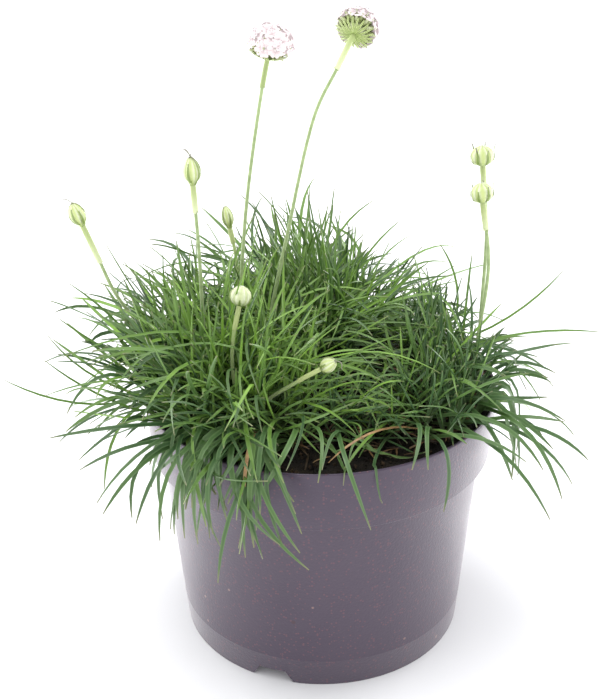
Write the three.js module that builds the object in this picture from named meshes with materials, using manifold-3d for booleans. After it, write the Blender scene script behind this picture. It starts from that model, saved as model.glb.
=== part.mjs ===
// Potted sea thrift: a grey nursery pot filled with soil, grass-like leaf tufts, and flower stems that carry
// two open heads and seven buds. Millimetres, +Z up, origin on the ground under the middle of the pot.
import * as THREE from 'three';
import { mergeVertices } from 'three/addons/utils/BufferGeometryUtils.js';
import Module from 'manifold-3d';

const wasm = await Module();
wasm.setup();

// Pot
const POT_HEIGHT = 127;
const RIM_RADIUS = 85;
const COLLAR_HEIGHT = 30;
const COLLAR_STEP = 4.6;
const COLLAR_TAPER = 2.2;
const BODY_TAPER = 8;
const WALL = 1.5;
const FLOOR_RECESS = 7;
const POT_SIDES = 38;
const NOTCH = { count: 3, height: 6.5, foot: 21, head: 13, depth: 20, angle: -110 };
const DRAIN = { count: 6, radius: 4, circle: 46, sides: 8 };
const CUT_OVER = 2;

// Soil
const SOIL_GAP = 0.7;
const SOIL_LEVEL = 120;
const SOIL_RIM_RADIUS = 82.3;
const SOIL_SECTORS = 18;
const SOIL_RINGS = 3;
const SOIL_MOUNDS = [
  { x: -45, y: -16, rise: 7, spread: 30 },
  { x: -6, y: 38, rise: 8, spread: 28 },
  { x: 66, y: 6, rise: 20, spread: 20 },
];

// Leaves: how they are shaped and how they keep clear of what they pass
const LEAF_WIDTH = 2.6;
const LEAF_THICKNESS = 0.9;
const LEAVES_PER_TUFT = 12;
const LEAF_TRIES = 160;
const LEAF_SPREAD = 78;
const LEAF_LENGTH = { least: 0.7, range: 0.55, power: 1.5, longShare: 0.07, longer: 0.25 };
const LEAF_DROOP = { least: 0.1, range: 0.55, fall: 0.8, arch: 0.06, bow: 0.5 };
const LEAF_SWAY = 0.2;
const LEAF_FLATTEST = 0.02;
const LEAF_REACH = { x: 128, y: 116 };
const LEAF_GAP = 0.6;
const LEAF_LIFTS = [0, 4, 8, 12];
const SPAN_FOR_FOUR = 58;
const SPAN_FOR_FIVE = 90;
const SOIL_CLEARANCE = 2.6;
const RIM_CLEARANCE = 2.4;
const RIM_FALL = { rate: 1.1, power: 1.35 };
const FLOOR_SLACK = 0.8;
const CROWN_RADIUS = 6;
const CROWN_DEPTH = 5;
const CROWN_RISE = 5;
const CROWN_SIDES = 6;
const ROOT_SPREAD = 4;
const FIT = 0.3;

// Tufts: place on the soil, usual leaf length, and lean away from the pot's axis in degrees
const TUFTS = [
  { x: -19, y: -47, leaf: 50, lean: 28 },
  { x: -43, y: -46, leaf: 54, lean: 32 },
  { x: -61, y: -30, leaf: 52, lean: 40 },
  { x: -71, y: -9, leaf: 50, lean: 44 },
  { x: -44, y: -24, leaf: 64, lean: 16 },
  { x: -23, y: -19, leaf: 54, lean: 8 },
  { x: -63, y: 27, leaf: 48, lean: 38 },
  { x: -51, y: 11, leaf: 58, lean: 14 },
  { x: -42, y: 47, leaf: 42, lean: 34 },
  { x: -14, y: 26, leaf: 62, lean: 8 },
  { x: 8, y: 38, leaf: 64, lean: 8 },
  { x: -14, y: 59, leaf: 50, lean: 26 },
  { x: 16, y: 62, leaf: 46, lean: 28 },
  { x: 36, y: 42, leaf: 40, lean: 20 },
  { x: 46, y: 9, leaf: 46, lean: 6 },
  { x: 62, y: 28, leaf: 34, lean: 24 },
  { x: 63, y: -3, leaf: 40, lean: 34 },
  { x: 50, y: -21, leaf: 44, lean: 14 },
  { x: 65, y: -30, leaf: 40, lean: 46 },
  { x: 44, y: -41, leaf: 36, lean: 32 },
  { x: 14, y: -42, leaf: 26, lean: 16 },
  { x: 6, y: 6, leaf: 44, lean: 4 },
];

// Long leaves that stand out of the outline: tuft number, the middle of the leaf, its tip
const LONG_LEAVES = [
  { tuft: 3, middle: [-114, -56, 147], tip: [-136, -60, 161] },
  { tuft: 2, middle: [-90, -52, 135], tip: [-118, -60, 132] },
  { tuft: 1, middle: [-90, -62, 128], tip: [-107, -66, 119] },
  { tuft: 1, middle: [-82, -72, 123], tip: [-97, -82, 108] },
  { tuft: 1, middle: [-69, -82, 122], tip: [-81, -92, 106] },
  { tuft: 0, middle: [-36, -84, 131], tip: [-46, -103, 86] },
  { tuft: 0, middle: [-29, -94, 122], tip: [-18, -106, 106] },
  { tuft: 0, middle: [-16, -97, 126], tip: [-6, -124, 104] },
  { tuft: 20, middle: [18, -90, 127], tip: [23, -101, 112] },
  { tuft: 19, middle: [40, -82, 136], tip: [38, -92, 129] },
  { tuft: 18, middle: [80, -58, 131], tip: [100, -76, 97] },
  { tuft: 19, middle: [74, -60, 134], tip: [90, -74, 125] },
  { tuft: 18, middle: [95, -42, 131], tip: [111, -52, 93] },
  { tuft: 18, middle: [102, -29, 130], tip: [125, -32, 103] },
  { tuft: 18, middle: [92, -24, 143], tip: [110, -20, 131] },
  { tuft: 16, middle: [109, 8, 150], tip: [136, 10, 151] },
  { tuft: 15, middle: [98, 28, 153], tip: [121, 34, 171] },
  { tuft: 9, middle: [-8, 44, 180], tip: [-4, 58, 205] },
  { tuft: 10, middle: [17, 56, 182], tip: [28, 68, 196] },
  { tuft: 12, middle: [33, 66, 172], tip: [42, 76, 184] },
  { tuft: 6, middle: [-84, 24, 168], tip: [-101, 22, 190] },
  { tuft: 3, middle: [-104, -10, 154], tip: [-122, -12, 172] },
  { tuft: 0, middle: [-39, -53, 170], tip: [-85, -62, 166] },
  { tuft: 12, middle: [14, 102, 160], tip: [10, 124, 146] },
];

// Flower stems
const STEM_RADIUS = 0.9;
const STEM_SIDES = 5;
const STEM_STEPS = 6;
const STEM_TAPER = 0.9;
const STEM_DEPTH = 11;
const SHEATH_WALL = 0.4;
const SHEATH_STEPS = 2;
const BUD_BRACTS = 5;
const BUD_SHARE = 0.82;
const BUD_LIFT = 1.2;
const OPEN_BRACTS = 8;
const CORE_RADIUS = 5.4;
const CORE_LIFT = 0.1;
const HEAD_FLATNESS = 0.85;
const FLORET = {
  count: 18, petals: 5, radius: 3.9, waist: 0.5, sunk: 2.4, dimple: 0.6, polar: 98, inset: [1.7, 0.5],
};
const GOLDEN_TURN = Math.PI * (3 - Math.sqrt(5));

// Heads: the points that the stem passes, lowest first, then the head's own size
const FLOWERS = [
  {
    name: 'open_left', open: true, radius: 10.6, height: 14, sheath: 15,
    stem: [[-41, 8], [-37.9, 8, 168], [-33, 6, 218], [-24.6, 2, 270], [-21.8, 0, 284]],
  },
  {
    name: 'open_right', open: true, radius: 10.6, height: 14, sheath: 20,
    stem: [
      [-30, 6], [-26.6, 8, 146], [-15.4, 12, 197], [-1, 18, 256],
      [8, 21, 273.5], [13.5, 27, 283], [16.5, 34, 287],
    ],
  },
  {
    name: 'bud_far_left', radius: 4.2, height: 11, sheath: 20,
    stem: [[-66, 9], [-80, -2, 152], [-93, -15, 181], [-98.7, -18, 199], [-104.5, -20, 217]],
  },
  {
    name: 'bud_left', radius: 4.3, height: 12, sheath: 13,
    stem: [[-53.2, -16], [-53.9, -14, 161], [-54.4, -12, 203], [-55.7, -10, 232]],
  },
  {
    name: 'bud_small', radius: 3.1, height: 10.5, sheath: 8,
    stem: [[-38, 26], [-39, 24, 150], [-40.5, 25, 184], [-43, 26, 198]],
  },
  {
    name: 'bud_round', radius: 4.7, height: 8.5, sheath: 12,
    stem: [[-33, -34], [-38, -34, 137], [-39.5, -34, 162], [-35.6, -31, 183]],
  },
  {
    name: 'bud_low', radius: 3.8, height: 8, sheath: 14,
    stem: [[-28, -38], [-26, -41, 137], [-9.4, -49, 153.5], [1, -53.5, 162]],
  },
  {
    name: 'bud_right_upper', radius: 5.2, height: 8.5, sheath: 12,
    stem: [[76, 6], [76.9, 6, 163], [78.2, 12, 200], [74.8, 12, 233]],
  },
  {
    name: 'bud_right_lower', radius: 4.9, height: 8.5, sheath: 14,
    stem: [[73, -7], [74, -8, 153], [77.8, -4, 189], [73.8, -2, 220]],
  },
];

const UP = new THREE.Vector3(0, 0, 1);
const EAST = new THREE.Vector3(1, 0, 0);
const rad = THREE.MathUtils.degToRad;

const material = (color, roughness) => new THREE.MeshStandardMaterial({ color, roughness, metalness: 0 });

const potPlastic = () => material('#776f7a', 0.55);
const soilPeat = () => material('#2c221b', 0.95);
const leafGreen = () => material('#4f8a3f', 0.5);
const stemGreen = () => material('#86a874', 0.5);
const bractGreen = () => material('#b6cf8f', 0.55);
const floretPink = () => material('#eddde2', 0.6);
const budWhite = () => material('#e3e8cf', 0.6);

// A fixed draw from 0 to 1 for three whole numbers: the fraction of a large sine.
function chance(a, b, c) {
  const value = Math.sin(a * 12.9898 + b * 78.233 + c * 37.719) * 43758.5453;
  return value - Math.floor(value);
}

// A closed body from corner points and triangles.
function body(points, triangles) {
  const vertProperties = new Float32Array(points.flatMap((p) => [p.x, p.y, p.z]));
  const triVerts = new Uint32Array(triangles);
  return new wasm.Manifold(new wasm.Mesh({ numProp: 3, vertProperties, triVerts }));
}

// A closed body from a three.js geometry, once only its positions are left.
function bodyOf(geometry) {
  geometry.deleteAttribute('normal');
  geometry.deleteAttribute('uv');
  const merged = mergeVertices(geometry, 1e-4);
  const vertProperties = new Float32Array(merged.attributes.position.array);
  const triVerts = new Uint32Array(merged.index.array);
  return new wasm.Manifold(new wasm.Mesh({ numProp: 3, vertProperties, triVerts }));
}

// A turned body about +Z from [radius, height] pairs, listed anticlockwise as seen with radius to the right.
function turned(profile, sides) {
  const geometry = new THREE.LatheGeometry(profile.map(([r, z]) => new THREE.Vector2(r, z)), sides);
  return bodyOf(geometry.rotateX(Math.PI / 2));
}

// An upright prism with flat ends.
function prism(radius, bottom, top, sides) {
  return turned([[0, bottom], [radius, bottom], [radius, top], [0, top]], sides);
}

// A body lofted through rings of equal length, with a flat end at the first ring and, unless a tip is given,
// at the last.
function loft(rings, tip) {
  const size = rings[0].length;
  const triangles = [];
  rings.slice(1).forEach((_, ring) => {
    for (let i = 0; i < size; i += 1) {
      const a = ring * size + i;
      const b = ring * size + ((i + 1) % size);
      triangles.push(a, b, b + size, a, b + size, a + size);
    }
  });
  const points = rings.flat();
  const last = points.length - size;
  for (let i = 1; i < size - 1; i += 1) {
    triangles.push(0, i + 1, i);
    if (!tip) triangles.push(last, last + i, last + i + 1);
  }
  if (tip) {
    for (let i = 0; i < size; i += 1) triangles.push(last + i, last + ((i + 1) % size), points.length);
    points.push(tip);
  }
  return body(points, triangles);
}

// A round body along a curve, through places on it from 0 to 1, with a radius at each end.
function tube(curve, places, startRadius, endRadius) {
  const rings = places.map((t, k) => {
    const radius = THREE.MathUtils.lerp(startRadius, endRadius, k / (places.length - 1));
    const centre = curve.getPointAt(t);
    const tangent = curve.getTangentAt(t);
    const side = EAST.clone().cross(tangent).normalize();
    const front = tangent.clone().cross(side);
    const ring = [];
    for (let i = 0; i < STEM_SIDES; i += 1) {
      const angle = (2 * Math.PI * i) / STEM_SIDES;
      const offset = side.clone().multiplyScalar(Math.cos(angle)).addScaledVector(front, Math.sin(angle));
      ring.push(centre.clone().addScaledVector(offset, radius));
    }
    return ring;
  });
  return loft(rings);
}

// Evenly spaced places from one to another.
function evenly(from, to, steps) {
  return Array.from({ length: steps + 1 }, (_, k) => THREE.MathUtils.lerp(from, to, k / steps));
}

// A closed wall lofted through rings of equal length, with the last ring joined to the first.
function loop(rings) {
  const size = rings[0].length;
  const triangles = [];
  rings.forEach((_, ring) => {
    const next = ((ring + 1) % rings.length) * size;
    for (let i = 0; i < size; i += 1) {
      const [a, b] = [ring * size + i, ring * size + ((i + 1) % size)];
      const [c, d] = [next + i, next + ((i + 1) % size)];
      triangles.push(a, b, d, a, d, c);
    }
  });
  return body(rings.flat(), triangles);
}

// The largest closed shell of a fused body, so that no small hollow is left between what was fused.
function filled(solid) {
  return solid.decompose().reduce((largest, shell) => (shell.volume() > largest.volume() ? shell : largest));
}

function mesh(name, solid, finish) {
  const { vertProperties, triVerts } = solid.getMesh();
  const geometry = new THREE.BufferGeometry();
  geometry.setAttribute('position', new THREE.BufferAttribute(new Float32Array(vertProperties), 3));
  geometry.setIndex(new THREE.BufferAttribute(new Uint32Array(triVerts), 1));
  geometry.computeVertexNormals();
  const made = new THREE.Mesh(geometry, finish);
  made.name = name;
  return made;
}

// The pot's outer radius at a height: a tapered body under a wider collar.
function potRadius(z) {
  const step = POT_HEIGHT - COLLAR_HEIGHT;
  if (z > step) return RIM_RADIUS - COLLAR_TAPER * (POT_HEIGHT - z) / COLLAR_HEIGHT;
  return RIM_RADIUS - COLLAR_TAPER - COLLAR_STEP - BODY_TAPER * (step - z) / step;
}

// One wedge-sided gap in the foot skirt.
function potNotch(index) {
  const half = NOTCH.foot / 2;
  const narrow = NOTCH.head / 2;
  const outline = new THREE.Shape([
    new THREE.Vector2(-half - 1, -CUT_OVER),
    new THREE.Vector2(half + 1, -CUT_OVER),
    new THREE.Vector2(narrow, NOTCH.height),
    new THREE.Vector2(-narrow, NOTCH.height),
  ]);
  const cut = new THREE.ExtrudeGeometry(outline, { depth: NOTCH.depth, bevelEnabled: false });
  cut.rotateX(Math.PI / 2).translate(0, NOTCH.depth / 2 - potRadius(0), 0);
  const angle = rad(NOTCH.angle + 90 + (360 * index) / NOTCH.count);
  return bodyOf(cut.rotateZ(angle));
}

function potDrain(index) {
  const angle = (2 * Math.PI * index) / DRAIN.count;
  const hole = prism(DRAIN.radius, FLOOR_RECESS - CUT_OVER, FLOOR_RECESS + WALL + CUT_OVER, DRAIN.sides);
  return hole.translate([DRAIN.circle * Math.cos(angle), DRAIN.circle * Math.sin(angle), 0]);
}

function makePot() {
  const step = POT_HEIGHT - COLLAR_HEIGHT;
  const under = potRadius(step);
  const over = potRadius(step + 0.01);
  const plate = FLOOR_RECESS + WALL;
  const profile = [
    [0, FLOOR_RECESS],
    [potRadius(FLOOR_RECESS) - WALL, FLOOR_RECESS],
    [potRadius(0) - WALL, 0],
    [potRadius(0), 0],
    [under, step],
    [over, step],
    [RIM_RADIUS, POT_HEIGHT - 1],
    [RIM_RADIUS - 0.5, POT_HEIGHT],
    [RIM_RADIUS - WALL, POT_HEIGHT],
    [over - WALL, step + WALL],
    [under - WALL, step - WALL],
    [potRadius(plate) - WALL, plate],
    [0, plate],
  ];
  let pot = turned(profile, POT_SIDES);
  for (let i = 0; i < NOTCH.count; i += 1) pot = pot.subtract(potNotch(i));
  for (let i = 0; i < DRAIN.count; i += 1) pot = pot.subtract(potDrain(i));
  return pot;
}

// The soil's height: a level with rounded mounds that die out towards the rim.
function soilHeight(x, y) {
  const fade = 1 - Math.min(1, Math.hypot(x, y) / SOIL_RIM_RADIUS) ** 8;
  const rise = SOIL_MOUNDS.reduce((sum, m) => {
    const away = (x - m.x) ** 2 + (y - m.y) ** 2;
    return sum + m.rise * Math.exp(-away / (2 * m.spread ** 2));
  }, 0);
  return SOIL_LEVEL + rise * fade;
}

// The soil before its holes: rings of the pot's inside below, and the mounded surface on top.
function soilBlock() {
  const step = POT_HEIGHT - COLLAR_HEIGHT;
  const bottom = FLOOR_RECESS + WALL + SOIL_GAP;
  const walls = [
    [potRadius(bottom) - WALL - SOIL_GAP, bottom],
    [potRadius(step) - WALL - SOIL_GAP, step - WALL],
    [potRadius(step + 0.01) - WALL - SOIL_GAP, step + WALL + SOIL_GAP],
  ];
  const ring = (radius, height) => Array.from({ length: SOIL_SECTORS }, (_, i) => {
    const angle = (2 * Math.PI * i) / SOIL_SECTORS;
    const x = radius * Math.cos(angle);
    const y = radius * Math.sin(angle);
    return new THREE.Vector3(x, y, height ?? soilHeight(x, y));
  });
  const rings = walls.map(([radius, height]) => ring(radius, height));
  for (let i = SOIL_RINGS; i > 0; i -= 1) rings.push(ring((SOIL_RIM_RADIUS * i) / SOIL_RINGS));
  return loft(rings, new THREE.Vector3(0, 0, soilHeight(0, 0)));
}

function makeSoil() {
  let soil = soilBlock();
  TUFTS.forEach(({ x, y }) => {
    const floor = soilHeight(x, y) - CROWN_DEPTH - FIT;
    const hole = prism(CROWN_RADIUS + 1.2 * FIT, floor, 2 * POT_HEIGHT, CROWN_SIDES);
    soil = soil.subtract(hole.translate([x, y, 0]));
  });
  FLOWERS.forEach(({ stem: [[x, y]] }) => {
    const floor = soilHeight(x, y) - STEM_DEPTH - FIT;
    const hole = prism(STEM_RADIUS + 3 * FIT, floor, 2 * POT_HEIGHT, STEM_SIDES);
    soil = soil.subtract(hole.translate([x, y, 0]));
  });
  return soil;
}

// A leaf is a quadratic curve from its root in the crown over a bend point to its tip. Leaf number n of a
// tuft takes the next point of an even spread over a cap around the tuft's own leaning axis.
function leafRule(tuftIndex, n) {
  const { x, y, leaf, lean } = TUFTS[tuftIndex];
  const away = Math.atan2(y, x);
  const tilt = rad(lean);
  const aside = new THREE.Vector3(Math.cos(away), Math.sin(away), 0);
  const axis = aside.clone().multiplyScalar(Math.sin(tilt)).addScaledVector(UP, Math.cos(tilt));
  const outward = aside.clone().multiplyScalar(Math.cos(tilt)).addScaledVector(UP, -Math.sin(tilt));
  const across = axis.clone().cross(outward);
  const place = n + 7 * tuftIndex;
  const open = Math.acos(1 - ((0.5 + 0.7548777 * place) % 1) * (1 - Math.cos(rad(LEAF_SPREAD))));
  const turn = 2 * Math.PI * ((0.5 + 0.5698403 * place) % 1);
  const heading = axis.clone().multiplyScalar(Math.cos(open))
    .addScaledVector(outward, Math.sin(open) * Math.cos(turn))
    .addScaledVector(across, Math.sin(open) * Math.sin(turn));
  heading.z = Math.max(heading.z, LEAF_FLATTEST);
  heading.normalize();
  const longer = chance(tuftIndex, n, 4) > 1 - LEAF_LENGTH.longShare ? LEAF_LENGTH.longer : 0;
  const drawn = LEAF_LENGTH.range * chance(tuftIndex, n, 1) ** LEAF_LENGTH.power;
  const length = leaf * (LEAF_LENGTH.least + drawn + longer);
  const flat = Math.hypot(heading.x, heading.y);
  const droop = flat ** 2 * (LEAF_DROOP.least + LEAF_DROOP.range * chance(tuftIndex, n, 2));
  const root = new THREE.Vector3(x, y, soilHeight(x, y)).addScaledVector(heading, ROOT_SPREAD);
  const tip = root.clone().addScaledVector(heading, length);
  tip.z -= LEAF_DROOP.fall * length * droop;
  const bend = root.clone().lerp(tip, 0.5);
  bend.z += length * (LEAF_DROOP.arch + LEAF_DROOP.bow * droop);
  const sway = (chance(tuftIndex, n, 3) - 0.5) * LEAF_SWAY * length;
  bend.add(new THREE.Vector3(-heading.y, heading.x, 0).multiplyScalar(sway));
  const excess = Math.max(Math.abs(tip.x) / LEAF_REACH.x, Math.abs(tip.y) / LEAF_REACH.y, 1);
  tip.lerp(root, 1 - 1 / excess);
  bend.lerp(root, 1 - 1 / excess);
  return { tuftIndex, root, bend, tip };
}

// A long leaf passes its given middle and ends at its given tip.
function longLeaf({ tuft, middle, tip }) {
  const { x, y } = TUFTS[tuft];
  const root = new THREE.Vector3(x, y, soilHeight(x, y) + 2);
  const end = new THREE.Vector3(...tip);
  const bend = new THREE.Vector3(...middle).multiplyScalar(2);
  bend.addScaledVector(root, -0.5).addScaledVector(end, -0.5);
  return { tuftIndex: tuft, root, bend, tip: end };
}

// The lowest height that a leaf may have over a point: just above the soil, over the rim, then falling away.
function leafFloor(x, y) {
  const r = Math.hypot(x, y);
  const overRim = POT_HEIGHT + RIM_CLEARANCE;
  const fall = RIM_FALL.rate * Math.max(r - RIM_RADIUS - 1, 0) ** RIM_FALL.power;
  if (r > RIM_RADIUS - 3) return overRim - fall;
  const low = soilHeight(x, y) + SOIL_CLEARANCE;
  const blend = THREE.MathUtils.clamp((r - RIM_RADIUS + 15) / 12, 0, 1);
  return Math.max(low, THREE.MathUtils.lerp(low, overRim, blend));
}

function leafPoint({ root, bend, tip }, s) {
  const point = root.clone().multiplyScalar((1 - s) ** 2);
  point.addScaledVector(bend, 2 * s * (1 - s)).addScaledVector(tip, s ** 2);
  point.z = Math.max(point.z, leafFloor(point.x, point.y));
  return point;
}

// Half the leaf's width along it: narrow at the root, full by a third, running out to the tip.
function leafHalfWidth(s) {
  const root = 0.55 + 0.45 * Math.min(1, s / 0.3);
  const end = s < 0.55 ? 1 : 1 - ((s - 0.55) / 0.45) ** 2 * 0.75;
  return (LEAF_WIDTH / 2) * root * end;
}

// Stations along a leaf, each with its centre and the directions of its width and its thickness.
function leafStations(leaf) {
  const span = leaf.root.distanceTo(leaf.bend) + leaf.bend.distanceTo(leaf.tip);
  const count = 3 + (span > SPAN_FOR_FOUR) + (span > SPAN_FOR_FIVE);
  const places = Array.from({ length: count }, (_, k) => (k / count) ** 0.9);
  const chord = leaf.tip.clone().sub(leaf.root).setZ(0);
  const wide = chord.length() > 2 ? chord.normalize() : EAST.clone();
  const across = UP.clone().cross(wide);
  const centres = [...places, 1].map((s) => leafPoint(leaf, s));
  return centres.map((centre, k) => {
    const before = centres[Math.max(0, k - 1)];
    const after = centres[Math.min(count, k + 1)];
    const along = after.clone().sub(before).normalize();
    const width = across.clone().addScaledVector(along, -across.dot(along)).normalize();
    const depth = along.clone().cross(width);
    const half = k === count ? 0.15 : leafHalfWidth(places[k]);
    return { centre, width, depth, half };
  });
}

// Whether a leaf's straight stretches pass over the soil and the rim. The keel hangs below the centre line.
function aboveFloor(stations) {
  return stations.slice(1).every((to, k) => {
    for (let i = 1; i <= 8; i += 1) {
      const point = stations[k].centre.clone().lerp(to.centre, i / 8);
      if (k + i / 8 > 0.4 && point.z < leafFloor(point.x, point.y) - FLOOR_SLACK) return false;
    }
    return true;
  });
}

// A three-sided leaf: two edges and a keel below.
function leafSolid(stations) {
  const rings = stations.slice(0, -1).map(({ centre, width, depth, half }) => [
    centre.clone().addScaledVector(width, half).addScaledVector(depth, LEAF_THICKNESS / 3),
    centre.clone().addScaledVector(width, -half).addScaledVector(depth, LEAF_THICKNESS / 3),
    centre.clone().addScaledVector(depth, (-LEAF_THICKNESS * 2) / 3),
  ]);
  return loft(rings, stations.at(-1).centre);
}

// The two nearest points of two segments, by clamping the unclamped answer on each in turn.
function nearest(a0, a1, b0, b1) {
  const u = a1.clone().sub(a0);
  const v = b1.clone().sub(b0);
  const w = a0.clone().sub(b0);
  const [uu, uv, vv, uw, vw] = [u.dot(u), u.dot(v), v.dot(v), u.dot(w), v.dot(w)];
  const det = uu * vv - uv * uv;
  let s = det > 1e-9 ? THREE.MathUtils.clamp((uv * vw - vv * uw) / det, 0, 1) : 0;
  const t = THREE.MathUtils.clamp((uv * s + vw) / vv, 0, 1);
  s = THREE.MathUtils.clamp((uv * t - uw) / uu, 0, 1);
  return [a0.clone().addScaledVector(u, s), b0.clone().addScaledVector(v, t)];
}

// How far a strip's section reaches from its centre line in a direction.
function reach(station, direction) {
  const sideways = Math.abs(direction.dot(station.width)) * station.half;
  const through = Math.abs(direction.dot(station.depth)) * (station.thick ?? LEAF_THICKNESS * 0.7);
  return sideways + through;
}

// Whether two strips keep a gap. Leaves of one tuft share its crown, so theirs is tested outside it.
function clearOf(one, other, gap, start) {
  const span = new THREE.Box3().copy(one.box).expandByScalar(3);
  if (!span.intersectsBox(other.box)) return true;
  const from = (stations, k) => {
    const { centre } = stations[k];
    return k === 0 ? centre.clone().lerp(stations[1].centre, start) : centre;
  };
  for (let i = 0; i < one.stations.length - 1; i += 1) {
    for (let j = 0; j < other.stations.length - 1; j += 1) {
      const [p, q] = nearest(
        from(one.stations, i), one.stations[i + 1].centre,
        from(other.stations, j), other.stations[j + 1].centre,
      );
      const direction = p.clone().sub(q);
      const distance = direction.length();
      direction.normalize();
      const needed = reach(one.stations[i], direction) + reach(other.stations[j], direction) + gap;
      if (distance < needed) return false;
    }
  }
  return true;
}

// A strip is what the clearance test knows of a leaf or a stem.
function strip(stations, owner) {
  const box = new THREE.Box3().setFromPoints(stations.map(({ centre }) => centre));
  return { stations, owner, box };
}

function stemCurve({ stem }) {
  const [[x, y], ...rest] = stem;
  const ground = soilHeight(x, y);
  const foot = new THREE.Vector3(x, y, ground - STEM_DEPTH);
  const collar = new THREE.Vector3(x, y, ground + 1);
  const points = [foot, collar, ...rest.map((p) => new THREE.Vector3(...p))];
  return new THREE.CatmullRomCurve3(points, false, 'centripetal');
}

// The stem with its head, as strips: the stem's points, then a stub through the head as wide as the head is.
function stemStrips(flower) {
  const curve = stemCurve(flower);
  const width = EAST;
  const depth = new THREE.Vector3(0, 1, 0);
  const thick = STEM_RADIUS + SHEATH_WALL + 0.2;
  const stations = curve.getSpacedPoints(14).map((centre) => ({ centre, width, depth, half: thick, thick }));
  const top = curve.getPointAt(1);
  const ahead = curve.getTangentAt(1);
  const size = flower.radius + 2;
  const head = [0, flower.height].map((d) => ({
    centre: top.clone().addScaledVector(ahead, d), width, depth, half: size, thick: size,
  }));
  return [strip(stations, flower.name), strip(head, flower.name)];
}

// The crowns as short upright strips, so that no leaf of another tuft runs through them.
function crownStrip({ x, y }, index) {
  const ground = soilHeight(x, y);
  const width = EAST;
  const depth = new THREE.Vector3(0, 1, 0);
  const stations = [ground, ground + CROWN_RISE].map((z) => ({
    centre: new THREE.Vector3(x, y, z), width, depth, half: CROWN_RADIUS, thick: CROWN_RADIUS,
  }));
  return strip(stations, index);
}

// All leaves: the long ones first, then the rule's leaves in turn over the tufts, each where it is clear.
function growLeaves() {
  const placed = [...FLOWERS.flatMap(stemStrips), ...TUFTS.map(crownStrip)];
  const leaves = TUFTS.map(() => []);
  const isClear = (made, start) => placed.every((other) => {
    const same = other.owner === made.owner;
    if (same && !other.leaf) return true;
    return same ? clearOf(made, other, LEAF_GAP / 4, start) : clearOf(made, other, LEAF_GAP, 0);
  });
  const take = (leaf, start) => LEAF_LIFTS.some((lift) => {
    const bend = leaf.bend.clone();
    bend.z += lift;
    const made = strip(leafStations({ ...leaf, bend }), leaf.tuftIndex);
    if (!aboveFloor(made.stations) || !isClear(made, start)) return false;
    placed.push({ ...made, leaf: true });
    leaves[leaf.tuftIndex].push(leafSolid(made.stations));
    return true;
  });
  LONG_LEAVES.forEach((leaf) => take(longLeaf(leaf), 0.9));
  const ruled = TUFTS.map(() => 0);
  for (let n = 0; n < LEAF_TRIES; n += 1) {
    TUFTS.forEach((_, index) => {
      if (ruled[index] < LEAVES_PER_TUFT && take(leafRule(index, n), 0.3)) ruled[index] += 1;
    });
  }
  return leaves;
}

// A tuft: the woody crown in its hole in the soil, with its leaves rooted in it.
function makeTuft({ x, y }, leaves) {
  const ground = soilHeight(x, y);
  const crown = turned([
    [0, -CROWN_DEPTH],
    [CROWN_RADIUS, -CROWN_DEPTH],
    [CROWN_RADIUS, CROWN_RISE / 2],
    [CROWN_RADIUS * 0.5, CROWN_RISE * 0.95],
    [0, CROWN_RISE],
  ], CROWN_SIDES).translate([x, y, ground]);
  return filled(leaves.reduce((tuft, leaf) => tuft.add(leaf), crown));
}

// The frame of a head: its foot on top of the stem, its own +Z along the stem's end.
function headFrame(curve) {
  const turn = new THREE.Quaternion().setFromUnitVectors(UP, curve.getTangentAt(1));
  return new THREE.Matrix4().compose(curve.getPointAt(1), turn, new THREE.Vector3(1, 1, 1));
}

// Lays a body made in a head's own frame where the head is.
function inFrame(solid, frame) {
  return solid.transform(frame.elements);
}

// A ring of points in a head's own frame. Every other point lies on a bract's middle, the rest lie between.
function headRing(count, tipRadius, tipHeight, midRadius = tipRadius, midHeight = tipHeight) {
  return Array.from({ length: 2 * count }, (_, i) => {
    const angle = (Math.PI * i) / count;
    const [radius, height] = i % 2 ? [midRadius, midHeight] : [tipRadius, tipHeight];
    return new THREE.Vector3(radius * Math.cos(angle), radius * Math.sin(angle), height);
  });
}

// Rings around the stem for a sheath, at places on its curve, listed from the first place to the last.
function sheathRings(curve, count, places, radius) {
  return places.map((t) => {
    const turn = new THREE.Quaternion().setFromUnitVectors(UP, curve.getTangentAt(t));
    const centre = curve.getPointAt(t);
    return headRing(count, radius, 0).map((point) => point.applyQuaternion(turn).add(centre));
  });
}

// The places on a stem's curve where its sheath has its rings.
function sheathPlaces({ sheath }, curve) {
  const length = curve.getLength();
  return evenly(1 - sheath / length, 1 - 1 / length, SHEATH_STEPS);
}

// Bracts and sheath in one closed wall: up the outside of the sheath, around the bracts' rim, down in the
// cup and back down the room for the stem.
function bractBody(flower, curve, count, cupRings) {
  const places = sheathPlaces(flower, curve);
  const bore = STEM_RADIUS + FIT;
  const frame = headFrame(curve);
  const outside = sheathRings(curve, count, places, bore + SHEATH_WALL);
  const inside = sheathRings(curve, count, places, bore).reverse();
  const cup = cupRings.map((ring) => ring.map((point) => point.applyMatrix4(frame)));
  return loop([...outside, ...cup, ...inside]);
}

// The florets of a bud: a pointed egg in its cup of bracts.
function budFlorets({ radius, height }) {
  const r = radius * BUD_SHARE;
  return loft([
    headRing(BUD_BRACTS, r * 0.4, BUD_LIFT),
    headRing(BUD_BRACTS, r * 0.9, height * 0.25),
    headRing(BUD_BRACTS, r * 0.93, height * 0.5, r * 1.02, height * 0.55),
    headRing(BUD_BRACTS, r * 0.62, height * 0.85, r * 0.72, height * 0.9),
  ], new THREE.Vector3(0, 0, height));
}

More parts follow.
